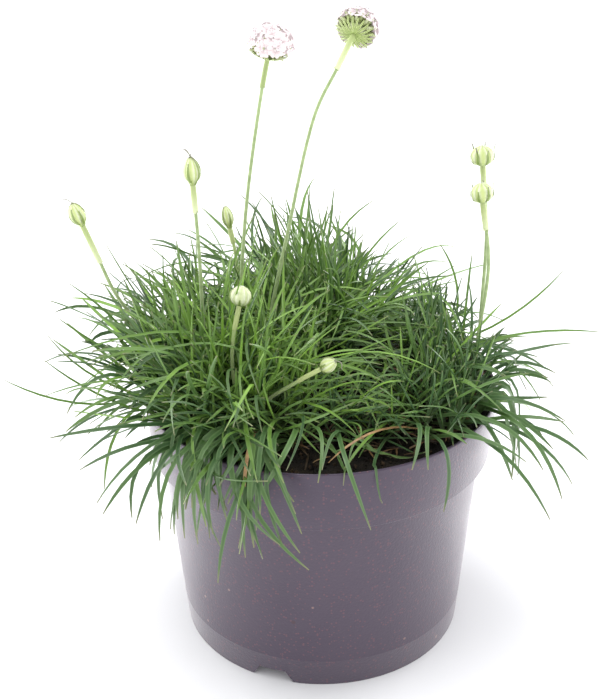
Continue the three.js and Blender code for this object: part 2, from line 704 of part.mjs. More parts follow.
// The cup of a bud: its wall hugs the florets, and its rim rises to the tips of the bracts.
function budBracts(flower, curve) {
  const { radius, height } = flower;
  const r = radius * BUD_SHARE + FIT;
  const wall = radius - r;
  return bractBody(flower, curve, BUD_BRACTS, [
    headRing(BUD_BRACTS, r * 0.45 + 2 * wall, BUD_LIFT - 1),
    headRing(BUD_BRACTS, r + wall, height * 0.28),
    headRing(BUD_BRACTS, r * 0.84 + wall, height * 1.02, r + wall, height * 0.5),
    headRing(BUD_BRACTS, r * 0.9, height * 0.25),
    headRing(BUD_BRACTS, STEM_RADIUS + FIT, BUD_LIFT - FIT),
  ]);
}

// One floret: a funnel from its foot out to its petals, with a dimple in the middle.
function floret(direction, distance) {
  const side = new THREE.Vector3(0, 1, 0.001).cross(direction).normalize();
  const front = direction.clone().cross(side);
  const foot = direction.clone().multiplyScalar(CORE_RADIUS - FLORET.sunk);
  const middle = direction.clone().multiplyScalar(distance - FLORET.dimple);
  const corners = 2 * FLORET.petals;
  const outline = Array.from({ length: corners }, (_, i) => {
    const angle = (2 * Math.PI * i) / corners;
    const radius = i % 2 ? FLORET.radius * FLORET.waist : FLORET.radius;
    const height = i % 2 ? distance - FLORET.dimple / 2 : distance + FLORET.dimple;
    return direction.clone().multiplyScalar(height)
      .addScaledVector(side, radius * Math.cos(angle))
      .addScaledVector(front, radius * Math.sin(angle));
  });
  const triangles = outline.flatMap((_, i) => {
    const next = (i + 1) % corners;
    return [i, next, corners, next, i, corners + 1];
  });
  return body([...outline, middle, foot], triangles);
}

// The florets of an open head, spread evenly over all but its underside, around a small core.
function openFlorets({ radius }) {
  let head = bodyOf(new THREE.IcosahedronGeometry(CORE_RADIUS, 0));
  for (let i = 0; i < FLORET.count; i += 1) {
    const share = (i + 0.5) / FLORET.count;
    const polar = Math.acos(1 - share * (1 - Math.cos(rad(FLORET.polar))));
    const direction = new THREE.Vector3().setFromSphericalCoords(1, polar, i * GOLDEN_TURN);
    direction.applyAxisAngle(EAST, Math.PI / 2);
    head = head.add(floret(direction, radius - FLORET.inset[i % 2]));
  }
  const lift = CORE_RADIUS * HEAD_FLATNESS + CORE_LIFT;
  return filled(head).scale([1, 1, HEAD_FLATNESS]).translate([0, 0, lift]);
}

// The bracts of an open head: a shallow cup under the florets whose rim runs out into a star of scales.
function openBracts(flower, curve) {
  return bractBody(flower, curve, OPEN_BRACTS, [
    headRing(OPEN_BRACTS, 3.4, -0.4),
    headRing(OPEN_BRACTS, 9.4, -1.4, 4.6, 0.3),
    headRing(OPEN_BRACTS, 3.6, 0.5),
    headRing(OPEN_BRACTS, STEM_RADIUS + FIT, 0.3),
  ]);
}

// A stem shares its rings inside the sheath with the sheath, so that both bend alike.
function makeStem(flower, curve) {
  const ground = STEM_DEPTH / curve.getLength();
  const sheathed = sheathPlaces(flower, curve);
  const bare = evenly(ground, sheathed[0], STEM_STEPS);
  return tube(curve, [0, ...bare, ...sheathed.slice(1)], STEM_RADIUS, STEM_RADIUS * STEM_TAPER);
}

const plant = new THREE.Group();
plant.add(mesh('pot', makePot(), potPlastic()));
plant.add(mesh('soil', makeSoil(), soilPeat()));

const leaves = growLeaves();
TUFTS.forEach((tuft, index) => {
  plant.add(mesh(`leaf_tuft_${index + 1}`, makeTuft(tuft, leaves[index]), leafGreen()));
});

FLOWERS.forEach((flower) => {
  const curve = stemCurve(flower);
  const bracts = flower.open ? openBracts(flower, curve) : budBracts(flower, curve);
  const florets = flower.open ? openFlorets(flower) : budFlorets(flower);
  const petals = flower.open ? floretPink() : budWhite();
  plant.add(mesh(`stem_${flower.name}`, makeStem(flower, curve), stemGreen()));
  plant.add(mesh(`bracts_${flower.name}`, bracts, bractGreen()));
  plant.add(mesh(`florets_${flower.name}`, inFrame(florets, headFrame(curve)), petals));
});

export default plant;
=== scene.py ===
# %% [markdown]
# # Sea thrift in a nursery pot
# The plant is a cushion of narrow leaves in a grey plastic pot, with two open flower heads and seven buds
# on bare stems. The frame holds every piece as a plain solid at its real size. This script keeps those
# sizes and builds the fine surfaces over them. It could also be done by hand with curves and modifiers,
# but a plant is made of thousands of like pieces, so each kind of piece is one formula, worked out for
# all its copies at once.

# %% Load the frame
from collections import namedtuple

import bpy
import numpy as np
from mathutils import Matrix


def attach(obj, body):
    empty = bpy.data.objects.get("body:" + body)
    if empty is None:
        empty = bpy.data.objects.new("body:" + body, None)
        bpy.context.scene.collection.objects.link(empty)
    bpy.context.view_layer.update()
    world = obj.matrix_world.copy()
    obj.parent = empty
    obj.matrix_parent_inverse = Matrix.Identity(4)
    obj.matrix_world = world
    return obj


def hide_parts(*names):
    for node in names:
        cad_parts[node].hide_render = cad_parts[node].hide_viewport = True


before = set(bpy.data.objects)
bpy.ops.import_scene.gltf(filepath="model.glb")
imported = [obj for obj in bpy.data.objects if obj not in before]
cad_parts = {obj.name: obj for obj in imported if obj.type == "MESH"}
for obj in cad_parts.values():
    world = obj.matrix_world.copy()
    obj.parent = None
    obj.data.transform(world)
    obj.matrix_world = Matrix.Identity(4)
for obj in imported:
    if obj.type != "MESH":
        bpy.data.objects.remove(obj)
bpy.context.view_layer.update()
MM = 0.001

# %% [markdown]
# ## From arrays to a mesh
# A surface here is a grid: rows of points along one parameter and columns along the other. Quads join
# each row to the next. Vertices could be added one by one in a loop, but whole arrays are far quicker.
# Many copies of one grid share the same quads, moved on by the number of points in a copy, so a tuft of
# two hundred leaves is still one mesh made by one call.

# %% Grids, faces and pieces
UP = np.array([0.0, 0.0, 1.0])


def unit(v):
    """Vectors divided by their own length, along the last axis."""
    return v / np.maximum(np.linalg.norm(v, axis=-1, keepdims=True), 1e-12)


def grid_quads(rows, columns, ring=True):
    """Quads of a grid of points, row after row. With ring, the last column joins the first."""
    r = np.arange(rows - 1)[:, None]
    c = np.arange(columns if ring else columns - 1)[None, :]
    after = (c + 1) % columns
    quads = [r * columns + c, r * columns + after, (r + 1) * columns + after, (r + 1) * columns + c]
    return np.stack(quads, axis=-1).reshape(-1, 4)


def copied(faces, copies, stride):
    """The same faces for every copy, each moved on by the stride in points."""
    shift = (np.arange(copies) * stride)[:, None, None]
    return (faces[None] + shift).reshape(-1, faces.shape[1])


def end_caps(rows, columns):
    """Two polygons that close a tube of rings, the first facing back and the last facing on."""
    first = np.arange(columns)[::-1]
    last = np.arange(columns) + (rows - 1) * columns
    return np.stack([first, last])


def new_mesh(name, points, face_sets, values=None):
    """A mesh in metres from points in millimetres, sets of faces, and one value for each point by name."""
    mesh = bpy.data.meshes.new(name)
    points = np.asarray(points, np.float32).reshape(-1, 3) * MM
    sides = np.concatenate([np.full(len(f), f.shape[1]) for f in face_sets])
    corners = np.concatenate([f.ravel() for f in face_sets])
    mesh.vertices.add(len(points))
    mesh.vertices.foreach_set("co", points.ravel())
    mesh.loops.add(len(corners))
    mesh.loops.foreach_set("vertex_index", corners.astype(np.int32))
    mesh.polygons.add(len(sides))
    starts = np.concatenate([[0], np.cumsum(sides)[:-1]])
    mesh.polygons.foreach_set("loop_start", starts.astype(np.int32))
    mesh.update(calc_edges=True)
    mesh.polygons.foreach_set("use_smooth", np.ones(len(sides), bool))
    for key, numbers in (values or {}).items():
        layer = mesh.attributes.new(key, "FLOAT", "POINT")
        layer.data.foreach_set("value", np.asarray(numbers, np.float32).ravel())
    return mesh


def new_piece(name, mesh, material, replaces, sharp=None):
    """An object of the plant or pot: it rides with the frame and stands for nodes of it."""
    if sharp is not None:
        mesh.set_sharp_from_angle(angle=np.radians(sharp))
    piece = bpy.data.objects.new(name, mesh)
    bpy.context.scene.collection.objects.link(piece)
    mesh.materials.append(material)
    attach(piece, "root")
    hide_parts(*replaces)
    return piece


class Parts:
    """Collects parts of one mesh: their points, faces and values, each moved on past the ones before."""

    def __init__(self, *names):
        self.points = []
        self.faces = {}
        self.values = {name: [] for name in names}
        self.count = 0

    def add(self, points, faces, **values):
        """Add points, faces that count from 0, and values for each point or for all, or 0 without one."""
        flat = points.reshape(-1, 3)
        self.points.append(flat)
        for group in faces:
            self.faces.setdefault(group.shape[1], []).append(group + self.count)
        for name, numbers in self.values.items():
            numbers.append(np.broadcast_to(values.get(name, 0.0), points.shape[:-1]).reshape(-1))
        self.count += len(flat)

    def mesh(self, name):
        """One mesh of all that was added."""
        sets = [np.concatenate(group) for group in self.faces.values()]
        values = {key: np.concatenate(numbers) for key, numbers in self.values.items()}
        return new_mesh(name, np.concatenate(self.points), sets, values)


OCTAHEDRON = np.array([[1, 0, 0], [0, 1, 0], [-1, 0, 0], [0, -1, 0], [0, 0, 1], [0, 0, -1]], float)
OCTAHEDRON_FACES = np.array([
    [0, 1, 4], [1, 2, 4], [2, 3, 4], [3, 0, 4], [1, 0, 5], [2, 1, 5], [3, 2, 5], [0, 3, 5],
])
print("a grid of 3 rows and 4 columns has", len(grid_quads(3, 4)), "quads as a ring")

# %% [markdown]
# ## Camera
# The photograph was taken from about half a metre in front of the pot, looking down by 26 degrees. The
# camera comes first, because its three axes are used twice: to set it up, and to place a few long leaves
# where the photograph shows their middle and tip. A pixel gives only a direction, so each point also has
# a depth.

# %% Camera
# place in metres, angles in radians, lens in millimetres
CAMERA = {"place": (0.0, -0.543, 0.4123), "yaw": -0.01548, "pitch": 0.4578, "roll": -0.01495, "lens": 65.07}
SENSOR = 36.0
PHOTO = {"width": 605, "height": 699}


def camera_axes():
    """Right, above and ahead of the camera, from its yaw about +Z, its pitch below level and its roll."""
    yaw, pitch, roll = CAMERA["yaw"], CAMERA["pitch"], CAMERA["roll"]
    ahead = np.array([np.sin(yaw) * np.cos(pitch), np.cos(yaw) * np.cos(pitch), -np.sin(pitch)])
    level = unit(np.cross(ahead, UP))
    upright = np.cross(level, ahead)
    right = np.cos(roll) * level + np.sin(roll) * upright
    above = np.cos(roll) * upright - np.sin(roll) * level
    return right, above, ahead


def at_pixels(rows):
    """Points in millimetres seen at pixels of the photograph, from rows (across, down, depth y).

    With f the lens in pixels, a ray is ahead + right (across - w/2) / f - above (down - h/2) / f. It is
    followed from the camera to the place where its y is the depth.
    """
    across, down, depth = np.array(rows, float).T[..., None]
    right, above, ahead = camera_axes()
    focal = CAMERA["lens"] / SENSOR * max(PHOTO.values())
    ray = ahead + (right * (across - PHOTO["width"] / 2) - above * (down - PHOTO["height"] / 2)) / focal
    start = np.array(CAMERA["place"]) / MM
    return start + ray * (depth - start[1]) / ray[:, 1:2]


def build_camera():
    """The camera at its place, turned onto its axes."""
    right, above, ahead = camera_axes()
    lens = bpy.data.cameras.new("camera")
    lens.lens = CAMERA["lens"]
    lens.sensor_width = SENSOR
    camera = bpy.data.objects.new("camera", lens)
    bpy.context.scene.collection.objects.link(camera)
    turn = Matrix(np.stack([right, above, -ahead], axis=1).tolist()).to_4x4()
    camera.matrix_world = Matrix.Translation(CAMERA["place"]) @ turn
    bpy.context.scene.camera = camera


build_camera()
middle_pixel = (PHOTO["width"] / 2, PHOTO["height"] / 2, 0)
print("the middle of the picture shows, over the pot's axis:", at_pixels([middle_pixel]).round(1))

# %% [markdown]
# ## Shared effects
# Leaves, stems, bracts and plastic all vary a little in tone, and most have fine lines or grain. Painted
# pictures would need every piece unwrapped. So these effects are node groups, built once and used with
# other numbers in each material. They only give masks. The shader itself stays in the material, where its
# own sockets hold the values that never change.

# %% Node groups
def new_group(name, inputs, outputs):
    """An empty node group with float inputs, each name with its default, and float outputs by name."""
    group = bpy.data.node_groups.new(name, "ShaderNodeTree")
    for label, default in inputs.items():
        socket = group.interface.new_socket(label, in_out="INPUT", socket_type="NodeSocketFloat")
        socket.default_value = default
    for label in outputs:
        group.interface.new_socket(label, in_out="OUTPUT", socket_type="NodeSocketFloat")
    return group, group.nodes.new("NodeGroupInput"), group.nodes.new("NodeGroupOutput")


def add_node(tree, kind, links=None, **settings):
    """A node with its settings and, by socket name or number, a link or a value for its inputs."""
    node = tree.nodes.new(kind)
    for key, value in settings.items():
        setattr(node, key, value)
    for socket, value in (links or {}).items():
        if isinstance(value, bpy.types.NodeSocket):
            tree.links.new(value, node.inputs[socket])
        else:
            node.inputs[socket].default_value = value
    return node


def calculated(tree, operation, first, second):
    """The result of a sum or comparison of two values."""
    return add_node(tree, "ShaderNodeMath", {0: first, 1: second}, operation=operation).outputs[0]


def mottle_group():
    """Mottle: noise in object space, stretched to run from 0 to 1 between its usual low and high."""
    inputs = {"Scale": 100, "Detail": 3, "Low": 0.35, "High": 0.65}
    group, start, end = new_group("mottle", inputs, ["Mask"])
    place = add_node(group, "ShaderNodeTexCoord")
    noise = add_node(group, "ShaderNodeTexNoise", {
        "Vector": place.outputs["Object"],
        "Scale": start.outputs["Scale"],
        "Detail": start.outputs["Detail"],
    })
    spread = add_node(group, "ShaderNodeMapRange", {
        "Value": noise.outputs["Fac"],
        "From Min": start.outputs["Low"],
        "From Max": start.outputs["High"],
    })
    group.links.new(spread.outputs["Result"], end.inputs["Mask"])
    return group


def specks_group():
    """Specks: cells of a Voronoi pattern whose random number is above a share, kept small and round."""
    group, start, end = new_group("specks", {"Scale": 400, "Share": 0.9, "Size": 0.3}, ["Mask"])
    place = add_node(group, "ShaderNodeTexCoord")
    cells = add_node(group, "ShaderNodeTexVoronoi", {
        "Vector": place.outputs["Object"],
        "Scale": start.outputs["Scale"],
    })
    draw = add_node(group, "ShaderNodeSeparateColor", {"Color": cells.outputs["Color"]})
    chosen = calculated(group, "GREATER_THAN", draw.outputs["Red"], start.outputs["Share"])
    near = calculated(group, "LESS_THAN", cells.outputs["Distance"], start.outputs["Size"])
    group.links.new(calculated(group, "MULTIPLY", chosen, near), end.inputs["Mask"])
    return group


MOTTLE = mottle_group()
SPECKS = specks_group()
print("shared effects:", MOTTLE.name, SPECKS.name)


# %% Helpers for materials
def new_material(name, **values):
    """A material with one Principled shader whose named sockets get plain values."""
    material = bpy.data.materials.new(name)
    material.use_nodes = True
    tree = material.node_tree
    shader = tree.nodes["Principled BSDF"]
    for key, value in values.items():
        shader.inputs[key.replace("_", " ")].default_value = value
    return material, tree, shader


def use_group(tree, group, **values):
    """A placed copy of a shared effect with its own numbers."""
    node = add_node(tree, "ShaderNodeGroup", node_tree=group)
    for key, value in values.items():
        node.inputs[key].default_value = value
    return node


def own_value(tree, name):
    """The value that the mesh holds for each point under a name."""
    return add_node(tree, "ShaderNodeAttribute", attribute_name=name).outputs["Fac"]


def blend(tree, share, first, second):
    """A colour between two: first where the share is 0, second where it is 1."""
    node = add_node(tree, "ShaderNodeMix", data_type="RGBA")
    for socket, value in ((0, share), (6, first), (7, second)):
        if isinstance(value, bpy.types.NodeSocket):
            tree.links.new(value, node.inputs[socket])
        else:
            node.inputs[socket].default_value = (*value, 1) if isinstance(value, tuple) else value
    return node.outputs[2]


def ranged(tree, value, low, high, to_low=0.0, to_high=1.0):
    """A value carried from the range low..high to the range to_low..to_high, and held at its ends."""
    links = {"Value": value, "From Min": low, "From Max": high, "To Min": to_low, "To Max": to_high}
    return add_node(tree, "ShaderNodeMapRange", links).outputs["Result"]


def bumped(tree, shader, height, distance):
    """Fine relief on a shader's normal: a height mask, and the distance in metres that it stands for."""
    links = {"Height": height, "Distance": distance}
    bump = add_node(tree, "ShaderNodeBump", links)
    tree.links.new(bump.outputs["Normal"], shader.inputs["Normal"])


print("materials can use", len(bpy.data.node_groups), "shared effects")

# %% [markdown]
# ## The pot
# A nursery pot is moulded in one go from recycled plastic: a tapered wall 1.5 mm thick, a wider collar at
# the top with a rounded lip, a low foot skirt with three gaps, and a raised floor with drain holes. A
# Screw modifier could turn a drawn outline, but the ground inside has to know the pot's radius at each
# height, so a formula gives it. The turned profile has arcs round the lip and the foot, because a real
# edge always catches a line of light. The gaps and the holes are cut with one cutter, as the mould does
# it.

# %% Pot sizes in millimetres
POT_HEIGHT = 127.0
RIM_RADIUS = 85.0
COLLAR_HEIGHT = 30.0
COLLAR_STEP = 4.6
COLLAR_TAPER = 2.2
BODY_TAPER = 8.0
WALL = 1.5
FLOOR_RECESS = 7.0
FOOT_ARC = 0.4
STEP_ARC = 0.5
BEVEL = 0.3
POT_SIDES = 160
STEP = POT_HEIGHT - COLLAR_HEIGHT
HAIR = 0.01
# a gap in the foot is wider at the foot than at its head, and the first stands at the angle in degrees
NOTCH = {"count": 3, "height": 6.5, "foot": 21.0, "head": 13.0, "angle": -110.0}
DRAIN = {"count": 6, "radius": 4.0, "circle": 46.0, "sides": 24}
# the fine line round the foot: its height, how far it stands out and half its width
RING_LINE = {"height": 15.0, "out": 0.12, "half": 0.35}


def pot_radius(z):
    """The outer radius at a height: body and collar narrow evenly downwards, and the collar stands out."""
    body = RIM_RADIUS - COLLAR_TAPER - COLLAR_STEP - BODY_TAPER * (STEP - z) / STEP
    collar = RIM_RADIUS - COLLAR_TAPER * (POT_HEIGHT - z) / COLLAR_HEIGHT
    return np.where(np.asarray(z, float) > STEP, collar, body)


def arc(centre, radius, start, end, steps):
    """Points of an arc in the profile plane, from one angle in degrees to another."""
    angle = np.radians(np.linspace(start, end, steps))
    return np.stack([centre[0] + radius * np.cos(angle), centre[1] + radius * np.sin(angle)], axis=1)


def pot_profile():
    """The wall's section as radius and height: from the axis under the floor, round outside and back."""
    plate = FLOOR_RECESS + WALL
    foot, under, over = float(pot_radius(0)), float(pot_radius(STEP)), float(pot_radius(STEP + HAIR))
    recess, inside = float(pot_radius(FLOOR_RECESS)) - WALL, float(pot_radius(plate)) - WALL
    ring, out, half = RING_LINE["height"], RING_LINE["out"], RING_LINE["half"]
    heights = np.array([ring - 2 * half, ring - half, ring, ring + half, ring + 2 * half])
    swell = out * np.array([0, 0.7, 1, 0.7, 0])
    lip = WALL / 2
    return np.concatenate([
        [[0, FLOOR_RECESS], [recess, FLOOR_RECESS]],
        [[foot - WALL, BEVEL], [foot - WALL + BEVEL, 0], [foot - FOOT_ARC, 0]],
        arc((foot - FOOT_ARC, FOOT_ARC), FOOT_ARC, -60, 0, 3),
        np.stack([pot_radius(heights) + swell, heights], axis=1),
        [[under, STEP - 1.2], [under + BEVEL, STEP - 0.4]],
        arc((over - STEP_ARC, STEP + STEP_ARC), STEP_ARC, -90, -5, 4),
        [[RIM_RADIUS - 0.02, POT_HEIGHT - 3]],
        arc((RIM_RADIUS - lip, POT_HEIGHT - lip), lip, 0, 180, 9),
        [[over - WALL, STEP + WALL], [under - WALL, STEP - WALL]],
        [[inside - 0.6, plate + 0.2], [inside - 1.4, plate]],
        [[0, plate]],
    ])


print("pot radius at foot, step and rim:", pot_radius(np.array([0, STEP, POT_HEIGHT])).round(1))


# %% Turned forms and the cutter
CUT_PAST = 2.0
CUT_REACH = 12.0


def turned(profile, sides):
    """Points of a profile turned about +Z in equal steps: rings of (r cos a, r sin a, z)."""
    angle = 2 * np.pi * np.arange(sides) / sides
    r, z = profile[:, 0][:, None], profile[:, 1][:, None]
    return np.stack([r * np.cos(angle), r * np.sin(angle), z + 0 * angle], axis=2)


def prism(outline, ends):
    """A straight body: one outline of points repeated at two places."""
    return np.stack([outline + end for end in ends])


def pot_cutter():
    """Wedges for the foot's gaps and rods for the drain holes, each past its wall on both sides."""
    parts = Parts()
    foot, tall = float(pot_radius(0)), NOTCH["height"]
    half, narrow = NOTCH["foot"] / 2, NOTCH["head"] / 2
    low = half + CUT_PAST * (half - narrow) / tall
    outline = np.array([[-low, 0, -CUT_PAST], [low, 0, -CUT_PAST], [narrow, 0, tall], [-narrow, 0, tall]])
    wedge = prism(outline, [[0, foot - CUT_REACH, 0], [0, foot + CUT_REACH, 0]])[::-1]
    for index in range(NOTCH["count"]):
        angle = np.radians(NOTCH["angle"] - 90 + 360 * index / NOTCH["count"])
        turn = np.array(Matrix.Rotation(angle, 3, "Z"))
        parts.add(wedge @ turn.T, [grid_quads(2, 4), end_caps(2, 4)])
    sides = DRAIN["sides"]
    around = 2 * np.pi * np.arange(sides) / sides
    circle = DRAIN["radius"] * np.stack([np.cos(around), np.sin(around), 0 * around], axis=1)
    ends = [[0, 0, FLOOR_RECESS - CUT_PAST], [0, 0, FLOOR_RECESS + WALL + CUT_PAST]]
    for index in range(DRAIN["count"]):
        angle = 2 * np.pi * index / DRAIN["count"]
        centre = DRAIN["circle"] * np.array([np.cos(angle), np.sin(angle), 0])
        parts.add(prism(circle + centre, ends), [grid_quads(2, sides), end_caps(2, sides)])
    return parts.mesh("pot_cutter")


print("cutter:", len(pot_cutter().polygons), "faces")

# %% [markdown]
# ## The plastic's finish
# Recycled plastic is never one colour. It is a mauve grey with soft clouds where the melt flowed, a fine
# grain from the mould, and specks of the plastics it was made from. A painted texture would need
# unwrapping, so the clouds, the grain and three sizes of specks come from noise and cells in object
# space.

# %% Plastic
def plastic_material():
    """Mauve grey, softly clouded, with a fine grain and sparse red, pale and dark specks."""
    material, tree, shader = new_material("recycled_plastic", Specular_IOR_Level=0.47,
                                          Specular_Tint=(0.96, 0.89, 1.0, 1.0))
    cloud = use_group(tree, MOTTLE, Scale=22, Detail=4, Low=0.35, High=0.68)
    grain = use_group(tree, MOTTLE, Scale=900, Detail=4, Low=0.3, High=0.7)
    colour = blend(tree, cloud.outputs["Mask"], (0.0245, 0.0160, 0.0300), (0.0345, 0.0238, 0.0385))
    colour = blend(tree, ranged(tree, grain.outputs["Mask"], 0, 1, 0, 0.35), colour, (0.020, 0.016, 0.028))
    red = use_group(tree, SPECKS, Scale=900, Share=0.86, Size=0.45)
    pale = use_group(tree, SPECKS, Scale=230, Share=0.985, Size=0.2)
    dark = use_group(tree, SPECKS, Scale=150, Share=0.985, Size=0.16)
    colour = blend(tree, ranged(tree, red.outputs["Mask"], 0, 1, 0, 0.45), colour, (0.11, 0.035, 0.04))
    colour = blend(tree, ranged(tree, pale.outputs["Mask"], 0, 1, 0, 0.6), colour, (0.20, 0.12, 0.10))
    colour = blend(tree, ranged(tree, dark.outputs["Mask"], 0, 1, 0, 0.8), colour, (0.03, 0.012, 0.014))
    tree.links.new(colour, shader.inputs["Base Color"])
    rough = ranged(tree, cloud.outputs["Mask"], 0, 1, 0.36, 0.46)
    tree.links.new(rough, shader.inputs["Roughness"])
    bumped(tree, shader, grain.outputs["Mask"], 0.00006)
    return material


PLASTIC = plastic_material()
print("plastic:", len(PLASTIC.node_tree.nodes), "nodes")


# %% Build the pot
POT_SHARP = 40


def build_pot():
    """The turned wall, closed by a fan of triangles at each end of its axis, less the cutter."""
    rings = turned(pot_profile(), POT_SIDES)
    inner = rings[1:-1]
    points = np.concatenate([inner.reshape(-1, 3), rings[0, :1], rings[-1, :1]])
    rows = len(inner)
    low_pole = rows * POT_SIDES
    here = np.arange(POT_SIDES)
    after = (here + 1) % POT_SIDES
    last_ring = (rows - 1) * POT_SIDES
    under = np.stack([np.full(POT_SIDES, low_pole), after, here], axis=1)
    above = np.stack([np.full(POT_SIDES, low_pole + 1), last_ring + here, last_ring + after], axis=1)
    mesh = new_mesh("pot_shell", points, [grid_quads(rows, POT_SIDES), under, above])
    shell = new_piece("pot_shell", mesh, PLASTIC, ["pot"])
    cutter = bpy.data.objects.new("pot_cutter", pot_cutter())
    bpy.context.scene.collection.objects.link(cutter)
    cut = shell.modifiers.new("gaps", "BOOLEAN")
    cut.operation = "DIFFERENCE"
    cut.object = cutter
    cut.solver = "EXACT"
    graph = bpy.context.evaluated_depsgraph_get()
    done = bpy.data.meshes.new_from_object(shell.evaluated_get(graph))
    shell.modifiers.clear()
    shell.data = done
    done.name = "pot_shell"
    done.set_sharp_from_angle(angle=np.radians(POT_SHARP))
    bpy.data.objects.remove(cutter)
    return shell


pot = build_pot()
print("pot:", len(pot.data.polygons), "faces")

# %% [markdown]
# ## The ground
# Peat fills the pot to a few millimetres under the rim and swells under each old clump. It could be
# sculpted, but leaves and stems have to start on it, so its height is a formula that they can ask. The
# surface is a grid of rings, raised by the same mounds that the frame has and roughened by a sum of
# waves. Crumbs of peat lie on it, because a bare height field looks like cloth. The lower part is a plain
# plug that fills the pot.

# %% Ground height
SOIL_LEVEL = 120.0
SOIL_RIM_RADIUS = 82.3
# x, y, rise and spread of each mound
SOIL_MOUNDS = [(-45, -16, 7, 30), (-6, 38, 8, 28), (66, 6, 20, 20)]
SOIL_GAP = 0.7
ROUGH = 1.5
ROUGH_SEED = 3


def soil_height(x, y):
    """The level plus mounds of rise exp(-d^2 / (2 spread^2)) at a distance d, dying out towards the rim."""
    fade = 1 - np.minimum(1, np.hypot(x, y) / SOIL_RIM_RADIUS) ** 8
    total = 0
    for middle_x, middle_y, rise, spread in SOIL_MOUNDS:
        total = total + rise * np.exp(-((x - middle_x) ** 2 + (y - middle_y) ** 2) / (2 * spread**2))
    return SOIL_LEVEL + total * fade


def lumps(x, y, octaves=5, longest=22.0):
    """Rough ground from about -1 to 1: crossed waves in drawn directions, each shorter and lower."""
    draw = np.random.default_rng(ROUGH_SEED)
    total, height = 0, 1.0
    for octave in range(octaves):
        wave = 2 * np.pi * 1.9**octave / longest
        a, b, c, d = draw.uniform(0, 2 * np.pi, 4)
        first = np.sin(wave * (x * np.cos(a) + y * np.sin(a)) + b)
        second = np.sin(wave * (x * np.cos(c) + y * np.sin(c)) + d)
        total = total + height * first * second
        height *= 0.62
    return total / 2.2


mound_tops = [round(float(soil_height(x, y)), 1) for x, y, _, _ in SOIL_MOUNDS]
print("soil at the rim", float(soil_height(SOIL_RIM_RADIUS, 0)), "mm, over the mounds", mound_tops)


# %% Peat
def soil_material():
    """Wet peat: near black in coarse patches, browner on its crumbs, rough, with fine relief."""
    material, tree, shader = new_material("peat", Roughness=0.92, Specular_IOR_Level=0.25)
    fine = use_group(tree, MOTTLE, Scale=900, Detail=5, Low=0.3, High=0.7)
    coarse = use_group(tree, MOTTLE, Scale=120, Detail=4, Low=0.4, High=0.65)
    colour = blend(tree, coarse.outputs["Mask"], (0.005, 0.004, 0.003), (0.014, 0.010, 0.006))
    colour = blend(tree, own_value(tree, "tone"), colour, (0.055, 0.034, 0.018))
    tree.links.new(colour, shader.inputs["Base Color"])
    bumped(tree, shader, fine.outputs["Mask"], 0.0006)
    return material


PEAT = soil_material()
print("peat:", len(PEAT.node_tree.nodes), "nodes")


# %% Build the ground
GROUND_RINGS, GROUND_SIDES = 46, 144
CRUMBS, CRUMB_SEED = 1500, 8
RIM_CALM = 3.0


def ground_rings():
    """The plug's wall from the bottom up, then rings of the surface from the rim to the middle."""
    bottom = FLOOR_RECESS + WALL + SOIL_GAP
    gap = WALL + SOIL_GAP
    wall = [
        (float(pot_radius(bottom)) - gap, bottom),
        (float(pot_radius(STEP)) - gap, STEP - WALL),
        (float(pot_radius(STEP + HAIR)) - gap, STEP + WALL + SOIL_GAP),
    ]
    angle = 2 * np.pi * np.arange(GROUND_SIDES) / GROUND_SIDES
    r = SOIL_RIM_RADIUS * np.linspace(1, 0.01, GROUND_RINGS)[:, None]
    x, y = r * np.cos(angle), r * np.sin(angle)
    calm = np.clip((SOIL_RIM_RADIUS - r) / RIM_CALM, 0, 1)
    z = soil_height(x, y) - 0.5 + calm * (ROUGH * lumps(x, y) - 0.4)
    return np.concatenate([turned(np.array(wall), GROUND_SIDES), np.stack([x, y, z], axis=2)])


def crumb_points():
    """Octahedra squashed and turned at random, half sunk in the ground all over the pot, and their tone."""
    draw = np.random.default_rng(CRUMB_SEED)
    r = (SOIL_RIM_RADIUS - 1.2) * np.sqrt(draw.uniform(0, 1, CRUMBS))
    a = draw.uniform(0, 2 * np.pi, CRUMBS)
    size = 0.5 + 1.5 * draw.uniform(0, 1, CRUMBS) ** 2.5
    shape = OCTAHEDRON * (size[:, None] * draw.uniform(0.5, 1.2, (CRUMBS, 3)))[:, None, :]
    turn = np.linalg.qr(draw.normal(size=(CRUMBS, 3, 3)))[0]
    turn[:, :, 0] *= np.sign(np.linalg.det(turn))[:, None]
    x, y = r * np.cos(a), r * np.sin(a)
    centre = np.stack([x, y, soil_height(x, y) - 0.6 + ROUGH * lumps(x, y) + 0.2 * size], axis=1)
    return shape @ turn + centre[:, None, :], draw.uniform(0, 1, CRUMBS) ** 3


def build_ground():
    """The plug of peat with its crumbs."""
    crumbs, tone = crumb_points()
    rings = ground_rings()
    rows = len(rings)
    body = [grid_quads(rows, GROUND_SIDES), end_caps(rows, GROUND_SIDES)]
    triangles = copied(OCTAHEDRON_FACES, CRUMBS, len(OCTAHEDRON)) + rows * GROUND_SIDES
    points = np.concatenate([rings.reshape(-1, 3), crumbs.reshape(-1, 3)])
    tones = np.concatenate([np.zeros(rows * GROUND_SIDES), np.repeat(tone, len(OCTAHEDRON))])
    mesh = new_mesh("peat", points, [*body, triangles], {"tone": tones})
    return new_piece("peat", mesh, PEAT, ["soil"], sharp=50)


ground = build_ground()
print("ground:", len(ground.data.polygons), "faces")

# %% [markdown]
# ## The leaves
# Each clump is made of many small rosettes at the ends of short woody branches, so leaves start at all
# heights of the cushion. A leaf is a narrow, slightly channelled blade, nearly as wide at its blunt tip
# as in its middle, that leaves its rosette in some direction and bends over under its own weight. Hair
# curves would be quicker, but they have no keel and channel. So one leaf is a quadratic curve from root
# over bend to tip, with a four-sided section carried along it. The rosettes are spread evenly over each
# tuft of the frame, so that the fine foliage grows in the same places as the plain one.

